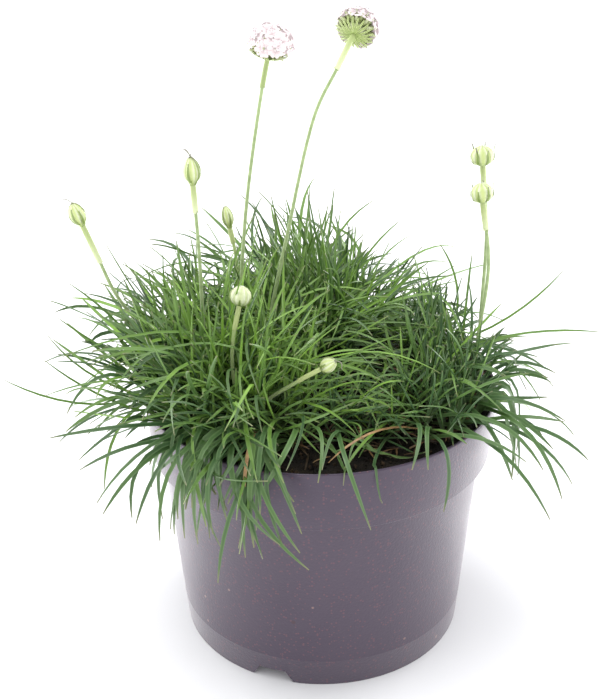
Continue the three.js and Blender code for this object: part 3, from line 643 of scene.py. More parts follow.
# %% Where the tufts are
# leaf is the length of its leaves, lean its tilt in degrees, and tone runs from 0, deep, to 1, yellow
# green;
# the low tones of the last eight tufts, at the right, in the hollow and in front, are partly painted shade
Tuft = namedtuple("Tuft", "x y leaf lean rosettes tone")
TUFTS = [
    Tuft(-19, -47, 50, 28, 10, 0.55), Tuft(-43, -46, 54, 32, 10, 0.4), Tuft(-61, -30, 52, 40, 9, 0.4),
    Tuft(-71, -9, 50, 44, 8, 0.35), Tuft(-44, -24, 64, 16, 11, 0.8), Tuft(-23, -19, 54, 8, 10, 0.85),
    Tuft(-63, 27, 52, 38, 7, 0.3), Tuft(-51, 11, 60, 14, 9, 0.6), Tuft(-42, 47, 29, 30, 5, 0.35),
    Tuft(-14, 26, 68, 6, 14, 0.52), Tuft(8, 38, 74, 4, 15, 0.46), Tuft(-14, 59, 58, 18, 9, 0.38),
    Tuft(16, 62, 46, 20, 8, 0.3), Tuft(36, 42, 32, 18, 7, 0.65), Tuft(46, 9, 40, 6, 9, 0.12),
    Tuft(62, 28, 32, 20, 5, 0.25), Tuft(63, -3, 35, 30, 5, 0.2), Tuft(50, -21, 44, 14, 9, 0.15),
    Tuft(65, -30, 40, 46, 7, 0.2), Tuft(44, -41, 36, 32, 7, 0.12), Tuft(14, -42, 26, 16, 4, 0.05),
    Tuft(6, 6, 44, 4, 3, 0.0),
]
GOLDEN = np.pi * (3 - np.sqrt(5))


def chance(a, b, c):
    """A fixed draw from 0 to 1 for whole numbers: the fraction of a large sine."""
    value = np.sin(a * 12.9898 + b * 78.233 + c * 37.719) * 43758.5453
    return value - np.floor(value)


print("tufts:", len(TUFTS), "with", sum(tuft.rosettes for tuft in TUFTS), "rosettes")

# %% [markdown]
# ## Where leaves stay away
# The photograph shows the plant's gaps as clearly as its leaves: a hollow in the middle, a thatched mound
# at the right, a bare front. Leaves could be deleted by hand, but the gaps would close again with the
# next change. So each leaf is kept or left out by a rule on the place where its tip ends. A second rule
# keeps leaves from crossing close in front of the stems and buds that the photograph shows free.

# %% Few tips end here
# limits of x, of y and of z, and the share of leaves that is kept between them
FAR = 999.0
THIN_BOXES = {
    "under the rim in front": ((-FAR, FAR), (-FAR, 0), (-FAR, 100), 0.15),
    "hollow": ((5, 43), (-36, 36), (-FAR, FAR), 0.2),
    "thatched mound": ((62, 106), (-16, 40), (-FAR, 172), 0.2),
    "bare front": ((-14, 64), (-FAR, -66), (-FAR, FAR), 0.1),
    "under the bare front": ((-14, 64), (-FAR, -66), (-FAR, 100), 0.0),
}


def crowding(tip):
    """The share of leaves ending at a place that are grown: 1 inside the cushion, and less in three cases.

    Fewer tips stand out past the rim, and fewest away from the left front, where the plant spills over. The
    thin boxes have their own shares. Few tips rise over the plant's outline in the photograph, where a tip
    seems z + 0.42 y high: the outline falls to the right by 0.62 of x and has a notch at the left.
    """
    x, y, z = tip.T
    past_rim = np.clip((np.hypot(x, y) - 80) / 10, 0, 1) * np.clip((154 - z) / 8, 0, 1)
    share = 1 - np.where((x > -60) & (x < 0), 0.5, 0.92) * past_rim
    for *box, kept in THIN_BOXES.values():
        low, high = np.transpose(box)
        share = np.where(((tip > low) & (tip < high)).all(axis=1), kept, share)
    seems_high = z + 0.42 * y
    above = (x > 10) & (seems_high > 222 - 0.62 * x)
    notch = (x > -60) & (x < -42) & (seems_high > 181)
    return np.where(above | notch, 0.1, share)


print("kept in the hollow:", crowding(np.array([[20, 0, 150.0]])), "and in the cushion:",
      crowding(np.array([[-30, 10, 160.0]])))


# %% No leaf in front of these lines
# the lower end, the upper end and how near a leaf may pass in the picture
FREE_LINES = [
    ((-39.5, -34, 147), (-36, -31, 180), 1.7),
    ((-20, -44, 143), (1, -53.5, 162), 1.7),
    ((-54, -14, 166), (-54.4, -12, 200), 1.1),
    ((-23.1, 9.3, 162), (-11.7, 13.5, 212), 1.1),
    ((-37.8, 7.9, 170), (-34.8, 6.7, 200), 1.1),
]
LOOK_SINE, LOOK_COSINE = 0.44, 0.9
SAMPLES = 40


def hides_stem(root, bend, tip):
    """Whether a leaf crosses close in front of a line that stays free, as the camera sees it.

    Looking down by 26 degrees, whose sine is 0.44 and cosine 0.9, it sees a point at (x, 0.44 y + 0.9 z),
    and a point is nearer the more 0.44 z - 0.9 y it has. Points along the leaf and the line are compared.
    """
    s = np.linspace(0, 1, SAMPLES)[:, None]
    leaf = (1 - s) ** 2 * root[:, None] + 2 * s * (1 - s) * bend[:, None] + s**2 * tip[:, None]
    hidden = np.zeros(len(root), bool)
    for foot, head, width in FREE_LINES:
        line = np.array(foot) + s * (np.array(head) - foot)
        gap = leaf[:, :, None] - line
        apart = np.hypot(gap[..., 0], LOOK_SINE * gap[..., 1] + LOOK_COSINE * gap[..., 2])
        nearer = LOOK_SINE * gap[..., 2] - LOOK_COSINE * gap[..., 1] > 0
        hidden |= ((apart < width) & nearer).any(axis=(1, 2))
    return hidden


print("lines that stay free:", len(FREE_LINES))


# %% Rosettes
LEAVES_PER_ROSETTE = 17
TUFT_RADIUS = 15.0
OPENING = (8.0, 76.0)
CUSHION_REACH = 108.0


def rosette_places(tuft, k, count):
    """Where rosettes k of a tuft stand, and the way that they face.

    They stand in a golden spiral, at TUFT_RADIUS times the square root of their share of the count. They
    face up, tilted by the tuft's lean away from the pot's middle, a little out of the tuft, and a little
    to a drawn side.
    """
    x, y, _, lean = TUFTS[tuft][:4]
    away, tilt = np.arctan2(y, x), np.radians(lean)
    around = GOLDEN * k + tuft
    share = np.sqrt((k + 0.5) / count)
    offset = np.stack([np.cos(around), np.sin(around), 0 * around], axis=1) * share[:, None]
    place = np.array([x, y, 0]) + offset * TUFT_RADIUS
    place[:, :2] *= np.minimum(1, (SOIL_RIM_RADIUS - 7) / np.hypot(place[:, 0], place[:, 1]))[:, None]
    place[:, 2] = soil_height(place[:, 0], place[:, 1]) + 1 + 11 * chance(tuft, k, 11) * (1.3 - share)
    lean_way = UP * np.cos(tilt) + np.array([np.cos(away), np.sin(away), 0]) * np.sin(tilt)
    wobble = np.stack([chance(tuft, k, 12), chance(tuft, k, 13), 0.5 + 0 * k], axis=1) - 0.5
    return place, unit(lean_way + 0.4 * offset + 0.6 * wobble)


def rosette_leaves(tuft):
    """Root, bend and tip of the leaves in all rosettes of a tuft.

    Leaf j of a rosette opens by a growing angle from the rosette's axis and a golden turn further round. It
    is longer when it stands further out, and droops by the square of how level it points.
    """
    leaf, count = TUFTS[tuft].leaf, TUFTS[tuft].rosettes
    k, j = np.divmod(np.arange(count * LEAVES_PER_ROSETTE), LEAVES_PER_ROSETTE)
    place, axis = rosette_places(tuft, k, count)
    side = unit(np.cross(axis, np.array([0.3, 0.2, 0.0])))
    other = np.cross(axis, side)
    out = (j + 0.5) / LEAVES_PER_ROSETTE
    narrow, wide = OPENING
    opening = np.radians(narrow + (wide - narrow) * out**0.8 + 14 * (chance(tuft, k, j + 20) - 0.5))
    turn = GOLDEN * j + 2 * np.pi * chance(tuft, k, 5)
    around = side * np.cos(turn)[:, None] + other * np.sin(turn)[:, None]
    heading = axis * np.cos(opening)[:, None] + around * np.sin(opening)[:, None]
    heading[:, 2] = np.maximum(heading[:, 2], 0.0)
    heading = unit(heading)
    length = leaf * (0.72 + 0.42 * np.sqrt(out)) * (0.68 + 0.64 * chance(tuft, k, j + 1))
    droop = (heading[:, 0] ** 2 + heading[:, 1] ** 2) * (0.08 + 0.55 * chance(tuft, k, j + 2))
    root = place + heading * 1.5
    tip = root + heading * length[:, None]
    tip[:, 2] -= 0.8 * length * droop
    bend = root + (tip - root) * (0.45 + 0.25 * chance(tuft, k, j + 7))[:, None]
    bend[:, 2] += length * (0.05 + 0.55 * droop)
    sway = (chance(tuft, k, j + 3) - 0.5) * 0.6 * length
    bend[:, 0] -= heading[:, 1] * sway
    bend[:, 1] += heading[:, 0] * sway
    reach = CUSHION_REACH + 14 * chance(tuft, k, j + 4)
    pull = np.minimum(1, reach / np.hypot(tip[:, 0], tip[:, 1]))[:, None]
    tip, bend = root + (tip - root) * pull, root + (bend - root) * pull
    keep = (chance(tuft, k, j + 6) < crowding(tip)) & ~hides_stem(root, bend, tip)
    return root[keep], bend[keep], tip[keep]


print("leaves in the rosettes of tuft 1:", len(rosette_leaves(0)[0]))


# %% Runners and litter
RUNNERS = 16
RUNNER_TOP, RIGHT_RUNNER_TOP = 178.0, 160.0
LITTER = 44
THATCH = {15: 3, 16: 3}


def runners(tuft):
    """Root, bend and tip of a few long thin leaves that arch far over the tuft in any direction.

    Each is 1.15 to 1.65 leaf lengths long. It heads out level in a drawn direction, up by a drawn slope and
    a little along its rosette's axis. Its bend lies higher and is swayed to one side.
    """
    leaf = TUFTS[tuft].leaf
    k = np.arange(RUNNERS)
    place, axis = rosette_places(tuft, k, RUNNERS)
    turn = 2 * np.pi * chance(tuft, k, 31)
    level = np.stack([np.cos(turn), np.sin(turn), 0 * turn], axis=1)
    length = (leaf * (1.15 + 0.5 * chance(tuft, k, 32)))[:, None]
    slope = (0.35 + 0.55 * chance(tuft, k, 33))[:, None]
    tip = place + length * (level * (0.95 - 0.35 * slope) + UP * (slope - 0.25) + 0.35 * axis)
    bend = place + length * (0.55 * level + 0.45 * axis + UP * (0.25 + 0.45 * slope)) * 0.62
    sway = (chance(tuft, k, 34) - 0.5)[:, None] * 0.7 * length
    bend = bend + sway * np.stack([-level[:, 1], level[:, 0], 0 * turn], axis=1)
    pull = np.minimum(1, (CUSHION_REACH + 6) / np.hypot(tip[:, 0], tip[:, 1]))[:, None]
    tip, bend = place + (tip - place) * pull, place + (bend - place) * pull
    top = RIGHT_RUNNER_TOP if TUFTS[tuft].x > 30 else RUNNER_TOP
    tip[:, 2] = np.minimum(tip[:, 2], top - 25 * chance(tuft, k, 36))
    bend[:, 2] = np.minimum(bend[:, 2], top + 5)
    keep = (chance(tuft, k, 35) < crowding(tip)) & ~hides_stem(place, bend, tip)
    return place[keep], bend[keep], tip[keep]


def litter(tuft):
    """Root, bend and tip of short dead leaves round the foot of the tuft, three times as many in thatch.

    They start within 22 mm of its middle, are 7 to 22 mm long, lie in any direction and rise a little.
    """
    x, y = TUFTS[tuft][:2]
    k = np.arange(LITTER * THATCH.get(tuft, 1))
    around, out = 2 * np.pi * chance(tuft, k, 41), 22 * np.sqrt(chance(tuft, k, 42))
    root = np.stack([x + out * np.cos(around), y + out * np.sin(around), 0 * out], axis=1)
    root[:, :2] *= np.minimum(1, (SOIL_RIM_RADIUS - 12) / np.hypot(root[:, 0], root[:, 1]))[:, None]
    root[:, 2] = soil_height(root[:, 0], root[:, 1]) + 0.5
    turn = 2 * np.pi * chance(tuft, k, 43)
    length = 7 + 15 * chance(tuft, k, 44)
    rise = length * (0.05 + 0.4 * chance(tuft, k, 45) ** 2)
    tip = root + np.stack([length * np.cos(turn), length * np.sin(turn), rise], axis=1)
    tip[:, :2] *= np.minimum(1, (SOIL_RIM_RADIUS - 3) / np.hypot(tip[:, 0], tip[:, 1]))[:, None]
    tip[:, 2] = np.maximum(tip[:, 2], soil_height(tip[:, 0], tip[:, 1]) + 1)
    aside = np.stack([3 * chance(tuft, k, 46) - 1.5, 3 * chance(tuft, k, 47) - 1.5, 0.2 * length], axis=1)
    return root, (root + tip) / 2 + aside, tip


print("runners and dead leaves of tuft 1:", len(runners(0)[0]), len(litter(0)[0]))

# %% [markdown]
# ## Leaves placed after the photograph
# Some leaves stand out of the mass. Long ones cross the front and the sides, and broad ones fold over the
# rim. The eye knows them again, so the long ones are set one by one: each row names the tuft that it
# grows from and two places read off the photograph, its middle and its tip. The broad ones hang between
# two directions round the pot and are drawn by chance.

# %% Long leaves and curtains
# for a tuft: the directions in degrees between which leaves hang over the rim, and their number
CURTAINS = {0: (-128, -99, 22), 1: (-141, -124, 13), 18: (-34, -4, 7)}
# the tuft, then the leaf's middle and its tip, each as pixel across, pixel down and depth y
LONG_LEAVES = [
    (18, (528, 403, -45), (565, 421, -48)), (18, (530, 417, -52), (564, 422, -56)),
    (18, (531, 436, -60), (562, 499, -64)), (19, (523, 442, -66), (543, 470, -72)),
    (18, (548, 452, -60), (572, 484, -62)), (19, (500, 446, -70), (526, 462, -76)),
    (19, (505, 456, -72), (550, 520, -84)), (18, (548, 432, -40), (588, 460, -42)),
    (17, (520, 398, -40), (548, 397, -42)), (18, (534, 430, -56), (553, 449, -60)),
    (16, (547, 331, -8), (600, 332, -6)), (16, (530, 349, -10), (573, 343, -10)),
    (15, (525, 306, 22), (563, 271, 28)), (18, (520, 362, -24), (555, 373, -26)),
    (18, (512, 370, -30), (548, 378, -32)), (3, (40, 395, -44), (4, 380, -50)),
    (2, (110, 381, -50), (45, 396, -56)), (2, (88, 384, -50), (67, 414, -56)),
    (5, (220, 341, -30), (62, 357, -45)), (1, (118, 427, -66), (50, 438, -70)),
    (1, (120, 450, -72), (80, 470, -82)), (1, (130, 462, -76), (97, 503, -88)),
    (1, (134, 472, -78), (103, 514, -90)), (1, (133, 480, -80), (132, 518, -90)),
    (1, (152, 480, -84), (136, 524, -96)), (0, (166, 480, -88), (160, 541, -100)),
    (0, (180, 480, -90), (178, 519, -100)), (0, (196, 470, -92), (192, 508, -100)),
    (0, (207, 490, -96), (213, 534, -104)), (0, (232, 510, -97), (218, 583, -112)),
    (0, (222, 478, -92), (268, 481, -97)), (0, (262, 490, -94), (300, 553, -104)),
    (0, (268, 500, -96), (283, 546, -104)), (0, (258, 515, -98), (309, 570, -108)),
    (0, (240, 500, -96), (280, 545, -106)), (4, (164, 374, -48), (176, 418, -60)),
    (5, (228, 372, -52), (241, 436, -80)), (5, (240, 370, -50), (251, 442, -78)),
    (0, (290, 428, -60), (355, 402, -54)), (0, (300, 402, -52), (346, 403, -48)),
    (0, (322, 440, -78), (318, 483, -92)), (20, (352, 478, -93), (371, 530, -101)),
    (20, (330, 440, -76), (322, 470, -90)), (19, (418, 448, -84), (412, 470, -91)),
    (19, (427, 450, -84), (428, 470, -91)), (9, (306, 230, 44), (310, 186, 58)),
    (10, (345, 225, 56), (374, 200, 68)), (12, (375, 245, 66), (401, 220, 76)),
    (12, (385, 255, 80), (409, 236, 90)), (6, (118, 265, 24), (107, 246, 22)),
    (3, (92, 300, -10), (68, 283, -12)), (9, (262, 235, 40), (254, 210, 30)),
    (9, (288, 215, 48), (278, 205, 50)), (10, (326, 225, 50), (333, 205, 54)),
    (13, (425, 262, 40), (447, 262, 46)), (15, (450, 262, 30), (439, 243, 34)),
    (16, (470, 270, 16), (472, 254, 20)), (7, (168, 262, 10), (150, 247, 8)),
    (7, (185, 262, 14), (176, 246, 10)), (8, (230, 268, 40), (206, 222, 44)),
    (9, (333, 308, 12), (392, 333, 4)), (5, (315, 342, -8), (385, 348, -10)),
    (5, (330, 372, -22), (395, 378, -26)), (0, (362, 400, -44), (432, 358, -24)),
    (21, (357, 382, -30), (343, 408, -44)), (17, (430, 387, -36), (441, 413, -50)),
    (19, (385, 415, -62), (430, 417, -70)), (7, (150, 275, 6), (136, 262, 4)),
    (6, (140, 282, 20), (124, 262, 22)), (7, (163, 270, 8), (163, 250, 10)),
    (9, (322, 232, 44), (318, 208, 50)), (10, (337, 232, 52), (341, 209, 60)),
    (10, (352, 240, 58), (352, 222, 64)), (5, (205, 343, -48), (118, 364, -62)),
    (4, (150, 352, -52), (112, 392, -66)), (0, (256, 400, -72), (262, 432, -84)),
    (2, (62, 352, -30), (48, 336, -32)), (3, (75, 330, -16), (58, 318, -18)),
    (2, (60, 372, -40), (44, 360, -42)),
]


def bend_through(root, middle, tip):
    """The bend of curves that pass a middle m at w, its share of the way from root to tip.

    It solves m = (1-w)^2 root + 2w(1-w) bend + w^2 tip, with w measured along the two straight lines.
    """
    before, after = np.linalg.norm(middle - root, axis=1), np.linalg.norm(tip - middle, axis=1)
    share = (before / (before + after))[:, None]
    return (middle - (1 - share) ** 2 * root - share**2 * tip) / (2 * share * (1 - share))


def around_middle(tuft, turn, away=8.0):
    """Points on the soil at a distance from a tuft's middle, in the directions of turn."""
    x, y = TUFTS[tuft].x + away * np.cos(turn), TUFTS[tuft].y + away * np.sin(turn)
    return np.stack([x, y, soil_height(x, y) + 2], axis=1)


def curtain(tuft):
    """Root, bend and tip of the broad leaves that fold over the rim between two directions.

    Each passes 1 to 6 mm outside the rim and 3 to 12 mm over it, and hangs to a height of 89 to 121 mm.
    """
    first, last, count = CURTAINS.get(tuft, (0, 0, 0))
    k = np.arange(count)
    turn = np.radians(first + (last - first) * chance(tuft, k, 51))
    root = around_middle(tuft, GOLDEN * k)
    r, z = RIM_RADIUS + 1 + 5 * chance(tuft, k, 52), POT_HEIGHT + 3 + 9 * chance(tuft, k, 53)
    middle = np.stack([r * np.cos(turn), r * np.sin(turn), z], axis=1)
    turn = turn + 0.35 * (chance(tuft, k, 54) - 0.5)
    z = 89 + 32 * chance(tuft, k, 56)
    r = RIM_RADIUS + 5 + (0.15 + 0.25 * chance(tuft, k, 55)) * (POT_HEIGHT + 5 - z)
    tip = np.stack([r * np.cos(turn), r * np.sin(turn), z], axis=1)
    return root, bend_through(root, middle, tip), tip


def long_leaves(tuft):
    """Root, bend and tip of the tuft's long leaves, each through its middle and to its tip."""
    rows = [row for row in LONG_LEAVES if row[0] == tuft]
    if not rows:
        return [np.zeros((0, 3))] * 3
    middle, tip = at_pixels([row[1] for row in rows]), at_pixels([row[2] for row in rows])
    root = around_middle(tuft, GOLDEN * (1 + np.arange(len(rows))))
    return root, bend_through(root, middle, tip), tip


print("long leaves:", len(LONG_LEAVES), "and over the rim:", sum(row[2] for row in CURTAINS.values()))


# %% Sweep a blade along each curve
STATIONS = 10
BLADE_SIDES = 4
SOFT = 1.2


def leaf_floor(x, y):
    """The lowest a leaf may lie: just over the ground, over the rim, then falling away outside it.

    At a distance d from the axis it falls by 2.4 (d - R - 0.6)^1.5 outside a rim of radius R.
    """
    r = np.hypot(x, y)
    low = soil_height(np.clip(x, -90, 90), np.clip(y, -90, 90)) + 0.8
    over = POT_HEIGHT + 1.0
    fall = 2.4 * np.maximum(r - RIM_RADIUS - 0.6, 0) ** 1.5
    share = np.clip((r - RIM_RADIUS + 12) / 9, 0, 1)
    return np.where(r > RIM_RADIUS - 3, over - fall, low + (np.maximum(over, low) - low) * share)


def blade_width(s):
    """Share of full width along a blade: 0.55 at the root, most at 0.2, then less, drawn in at the tip."""
    root = 0.55 + 0.45 * np.minimum(1, s / 0.2)
    return root * (1 - 0.2 * s) * (1 - 0.75 * np.clip((s - 0.72) / 0.28, 0, 1) ** 2)


def blades(root, bend, tip, width, thick, twist, roll):
    """Points of blades: a four-sided section with a shallow channel, carried along quadratic curves.

    A centre is (1-s)^2 root + 2s(1-s) bend + s^2 tip, kept over the lowest place by a soft maximum. The
    section's corners are the two edges, the channel above and the keel below, turned by the twist as s
    grows. Roll tips a blade over to the front by how far it heads to the side.
    """
    s = 1 - (1 - np.linspace(0, 1, STATIONS)) ** 1.4
    w = s[None, :, None]
    centre = (1 - w) ** 2 * root[:, None] + 2 * w * (1 - w) * bend[:, None] + w**2 * tip[:, None]
    low = leaf_floor(centre[..., 0], centre[..., 1])
    centre[..., 2] = low + SOFT * np.logaddexp(0, (centre[..., 2] - low) / SOFT)
    along = unit(np.gradient(centre, axis=1))
    flat = unit((tip - root) * [1, 1, 0] + np.array([1e-4, 0, 0]))
    sideways = np.cross(UP, flat)[:, None]
    sideways = unit(sideways - along * np.sum(sideways * along, axis=2, keepdims=True))
    above = np.cross(along, sideways)
    angle = (twist[:, None] * (s - 0.3) + roll[:, None] * flat[:, :1])[..., None]
    across = sideways * np.cos(angle) + above * np.sin(angle)
    out = np.cross(along, across)
    half = (width[:, None] * blade_width(s) / 2)[..., None]
    deep = (thick[:, None] * (0.45 + 0.55 * blade_width(s)))[..., None]
    corners = [
        across * half + out * deep * 0.35,
        out * deep * 0.05,
        -across * half + out * deep * 0.35,
        -out * deep * 0.75,
    ]
    return centre[:, :, None, :] + np.stack(corners, axis=2), s


def blade_values(count, s, tone, dry):
    """For each point: its blade's tone and dryness, the share along it, and 1 on the edges, 0 between."""
    edge = np.array([1.0, 0.0, 1.0, 0.0])
    shape = (count, STATIONS, BLADE_SIDES)
    return {
        "tone": np.broadcast_to(tone[:, None, None], shape),
        "dry": np.broadcast_to(dry[:, None, None], shape),
        "along": np.broadcast_to(s[None, :, None], shape),
        "edge": np.broadcast_to(edge[None, None, :], shape),
    }


BLADE_QUADS = grid_quads(STATIONS, BLADE_SIDES)
BLADE_CAPS = end_caps(STATIONS, BLADE_SIDES)
print("faces of one blade:", len(BLADE_QUADS) + len(BLADE_CAPS))

# %% [markdown]
# ## The look of a leaf
# A leaf is darker where it comes out of its rosette, which is painted shade. Along its blade it is green
# with paler edges, partly a paler margin and partly a painted highlight. It is greyer beyond its middle,
# and often brownish at its very tip. Some leaves are a deep green, some a yellow one, and a few are dead
# and straw coloured. A picture mapped onto every leaf could do this too, but it would make all leaves
# alike. Here each blade carries its own tone and dryness, and each point its place on the blade, as mesh
# values, so that one material does all.

# %% Leaf material
def leaf_material():
    """Green by tone, with painted shade at the root, greyer past the middle, paler at the edges, brown to
    straw if dry. The pale edges are partly a paler margin and partly a painted highlight.
    """
    material, tree, shader = new_material("thrift_leaf", Roughness=0.45, Specular_IOR_Level=0.3)
    tone, along = own_value(tree, "tone"), own_value(tree, "along")
    edge, dry = own_value(tree, "edge"), own_value(tree, "dry")
    fresh = blend(tree, tone, (0.023, 0.063, 0.019), (0.200, 0.365, 0.039))
    cloud = use_group(tree, MOTTLE, Scale=55, Detail=3, Low=0.35, High=0.65)
    fresh = blend(tree, ranged(tree, cloud.outputs["Mask"], 0, 1, 0, 0.35), fresh, (0.052, 0.110, 0.042))
    # pale edges: partly a paler margin, partly a painted highlight
    fresh = blend(tree, ranged(tree, edge, 0.3, 1, 0, 0.35), fresh, (0.165, 0.265, 0.105))
    # painted shade: the blade darkens towards its root, inside the rosette
    fresh = blend(tree, ranged(tree, along, 0, 0.35, 0.85, 0), fresh, (0.030, 0.042, 0.012))
    fresh = blend(tree, ranged(tree, along, 0.5, 1, 0, 0.5), fresh, (0.076, 0.114, 0.050))
    fresh = blend(tree, ranged(tree, along, 0.93, 1, 0, 0.6), fresh, (0.20, 0.18, 0.10))
    grain = use_group(tree, MOTTLE, Scale=260, Detail=4, Low=0.3, High=0.7)
    straw = blend(tree, grain.outputs["Mask"], (0.16, 0.085, 0.035), (0.34, 0.22, 0.10))
    colour = blend(tree, ranged(tree, dry, 0, 0.4), fresh, (0.022, 0.014, 0.008))
    colour = blend(tree, ranged(tree, dry, 0.4, 1), colour, straw)
    tree.links.new(colour, shader.inputs["Base Color"])
    tree.links.new(ranged(tree, grain.outputs["Mask"], 0, 1, 0.34, 0.52), shader.inputs["Roughness"])
    bumped(tree, shader, grain.outputs["Mask"], 0.00005)
    return material


LEAF = leaf_material()
print("leaf:", len(LEAF.node_tree.nodes), "nodes")


# %% Build the tufts
RUNNER, LONG, CURTAIN, DEAD = 1, 2, 3, 4


def build_tuft(tuft):
    """All blades of one tuft: of its rosettes, its runners, its long leaves, its curtain and its litter.

    A rosette's blade is 0.72 mm plus 0.0065 of the leaf length wide, times 1 to 1.6, and up to 0.6 more
    outside the rim. Runners and litter are narrower, and the leaves placed after the photograph have their
    own widths. Tone varies about the tuft's own. It is deeper outside the rim, and deepest on the broad
    leaves that hang over it, as painted shade.
    """
    kinds = [rosette_leaves(tuft), runners(tuft), long_leaves(tuft), curtain(tuft), litter(tuft)]
    root, bend, tip = (np.concatenate(group) for group in zip(*kinds))
    count = len(root)
    kind = np.repeat(np.arange(len(kinds)), [len(group[0]) for group in kinds])
    broad = (kind == LONG) | (kind == CURTAIN)
    free = np.random.default_rng(200 + tuft).uniform(0, 1, count)
    draw = np.random.default_rng(100 + tuft)
    away = np.hypot(tip[:, 0], tip[:, 1])
    outside = np.clip((away - 70) / 40, 0, 1)
    over = np.clip((away - 84) / 14, 0, 1) * (tip[:, 2] < 150)
    width = (0.72 + 0.0065 * TUFTS[tuft].leaf) * (1.0 + 0.6 * draw.uniform(0, 1, count) + 0.6 * outside)
    width = np.select([kind == RUNNER, kind == LONG, kind == CURTAIN, kind == DEAD],
                      [0.85 * width, 1.3 + 0.85 * over, 1.7 + 1.1 * free, 0.75 * width], width)
    thick = 0.4 + 0.12 * width
    twist = draw.normal(0, 1.1, count) * np.where(broad, 0.35, 1.0)
    points, s = blades(root, bend, tip, width, thick, twist, np.where(broad, 0.8, 0.3))
    # painted shade: deeper tones outside the rim, deepest on the broad leaves hanging over it
    tone = draw.normal(TUFTS[tuft].tone, 0.32, count) - 0.35 * outside + 0.2 * (kind == RUNNER)
    tone = np.where(broad, 0.16 * free + 0.40 * (over == 0), np.clip(tone, 0, 1))
    low = tip[:, 2] - soil_height(tip[:, 0].clip(-80, 80), tip[:, 1].clip(-80, 80)) < 14
    dry = (low & (draw.uniform(0, 1, count) < 0.03)).astype(float)
    withered = (kind == CURTAIN) & (free < 0.06)
    dry = np.select([withered, broad, kind == DEAD], [1, 0, 0.4 + 0.4 * free**3], dry)
    values = blade_values(count, s, tone, dry)
    stride = STATIONS * BLADE_SIDES
    faces = [copied(BLADE_QUADS, count, stride), copied(BLADE_CAPS, count, stride)]
    mesh = new_mesh(f"blades_{tuft + 1}", points, faces, values)
    return new_piece(f"blades_{tuft + 1}", mesh, LEAF, [f"leaf_tuft_{tuft + 1}"], sharp=45)


tufts = [build_tuft(tuft) for tuft in range(len(TUFTS))]
print("leaves:", sum(len(t.data.polygons) for t in tufts) // (len(BLADE_QUADS) + len(BLADE_CAPS)))

# %% [markdown]
# ## The stems
# A thrift stem is leafless, downy and hardly tapers. A curve with a round bevel would do, but the
# material needs to know how far up the stem each point is. So it is a tube along a smooth curve through a
# few points, from under the ground to the foot of its head. The curve is a centripetal Catmull-Rom
# spline, because it goes through every point without loops. Two cross axes carry the ring of points up
# the curve.

# %% Where the stems go
# radius and height of the head, length of its sheath, foot on the ground, and points that the stem passes
Flower = namedtuple("Flower", "radius height sheath foot points")
FLOWERS = {
    "open_left": Flower(10.6, 14, 15, (-41, 8), [
        (-37.9, 8, 168), (-33, 6, 218), (-24.6, 2, 270), (-21.2, -0.2, 286.4),
    ]),
    "open_right": Flower(10.6, 14, 20, (-30, 6), [
        (-26.6, 8, 146), (-15.4, 12, 197), (-1, 18, 256), (8, 21, 273.5), (13.5, 27, 283), (16.5, 34, 287),
    ]),
    "bud_far_left": Flower(4.2, 11, 20, (-66, 9), [
        (-80, -2, 152), (-93, -15, 181), (-98.7, -18, 199), (-104.5, -20, 217),
    ]),
    "bud_left": Flower(4.3, 12, 13, (-53.2, -16), [
        (-53.9, -14, 161), (-54.4, -12, 203), (-55.7, -10, 232),
    ]),
    "bud_small": Flower(3.1, 10.5, 8, (-38, 26), [(-39, 24, 150), (-40.5, 25, 184), (-43, 26, 198)]),
    "bud_round": Flower(4.7, 8.5, 12, (-33, -34), [(-38, -34, 137), (-39.5, -34, 162), (-35.6, -31, 183)]),
    "bud_low": Flower(3.8, 8, 14, (-28, -38), [(-26, -41, 137), (-9.4, -49, 153.5), (1, -53.5, 162)]),
    "bud_right_upper": Flower(5.2, 8.5, 12, (76, 6), [(76.9, 6, 163), (78.2, 12, 200), (74.8, 12, 233)]),
    "bud_right_lower": Flower(4.9, 8.5, 14, (73, -7), [(74, -8, 153), (77.8, -4, 189), (73.8, -2, 220)]),
}
STEM_RADIUS = 0.9
STEM_DEPTH = 11.0


def spline(points, steps=16):
    """A centripetal Catmull-Rom curve through the points, each segment in equal steps of its parameter.

    For knots a, b, c, d spaced by the square root of their distances, the segment from b to c is the cubic
    Hermite curve with tangents m = ((b-a)/ab - (c-a)/(ab+bc) + (c-b)/bc) bc, and the same about c.
    """
    p = np.concatenate([[2 * points[0] - points[1]], points, [2 * points[-1] - points[-2]]])
    gap = np.sqrt(np.linalg.norm(np.diff(p, axis=0), axis=1))[:, None]
    before, here, after = gap[:-2], gap[1:-1], gap[2:]
    a, b, c, d = p[:-3], p[1:-2], p[2:-1], p[3:]
    leave = ((b - a) / before - (c - a) / (before + here) + (c - b) / here) * here
    arrive = ((c - b) / here - (d - b) / (here + after) + (d - c) / after) * here
    u = np.linspace(0, 1, steps, endpoint=False)[None, :, None]
    b, c, leave, arrive = b[:, None], c[:, None], leave[:, None], arrive[:, None]
    curve = ((2 * u**3 - 3 * u**2 + 1) * b + (u**3 - 2 * u**2 + u) * leave
             + (3 * u**2 - 2 * u**3) * c + (u**3 - u**2) * arrive)
    return np.concatenate([curve.reshape(-1, 3), points[-1:]])


def stem_curve(name):
    """The stem's line and the distance along it, from under the ground to the foot of the head."""
    foot = FLOWERS[name].foot
    ground_z = soil_height(*foot)
    start = [(*foot, ground_z - STEM_DEPTH), (*foot, ground_z + 1)]
    line = spline(np.array([*start, *FLOWERS[name].points], float))
    reach = np.concatenate([[0], np.cumsum(np.linalg.norm(np.diff(line, axis=0), axis=1))])
    return line, reach


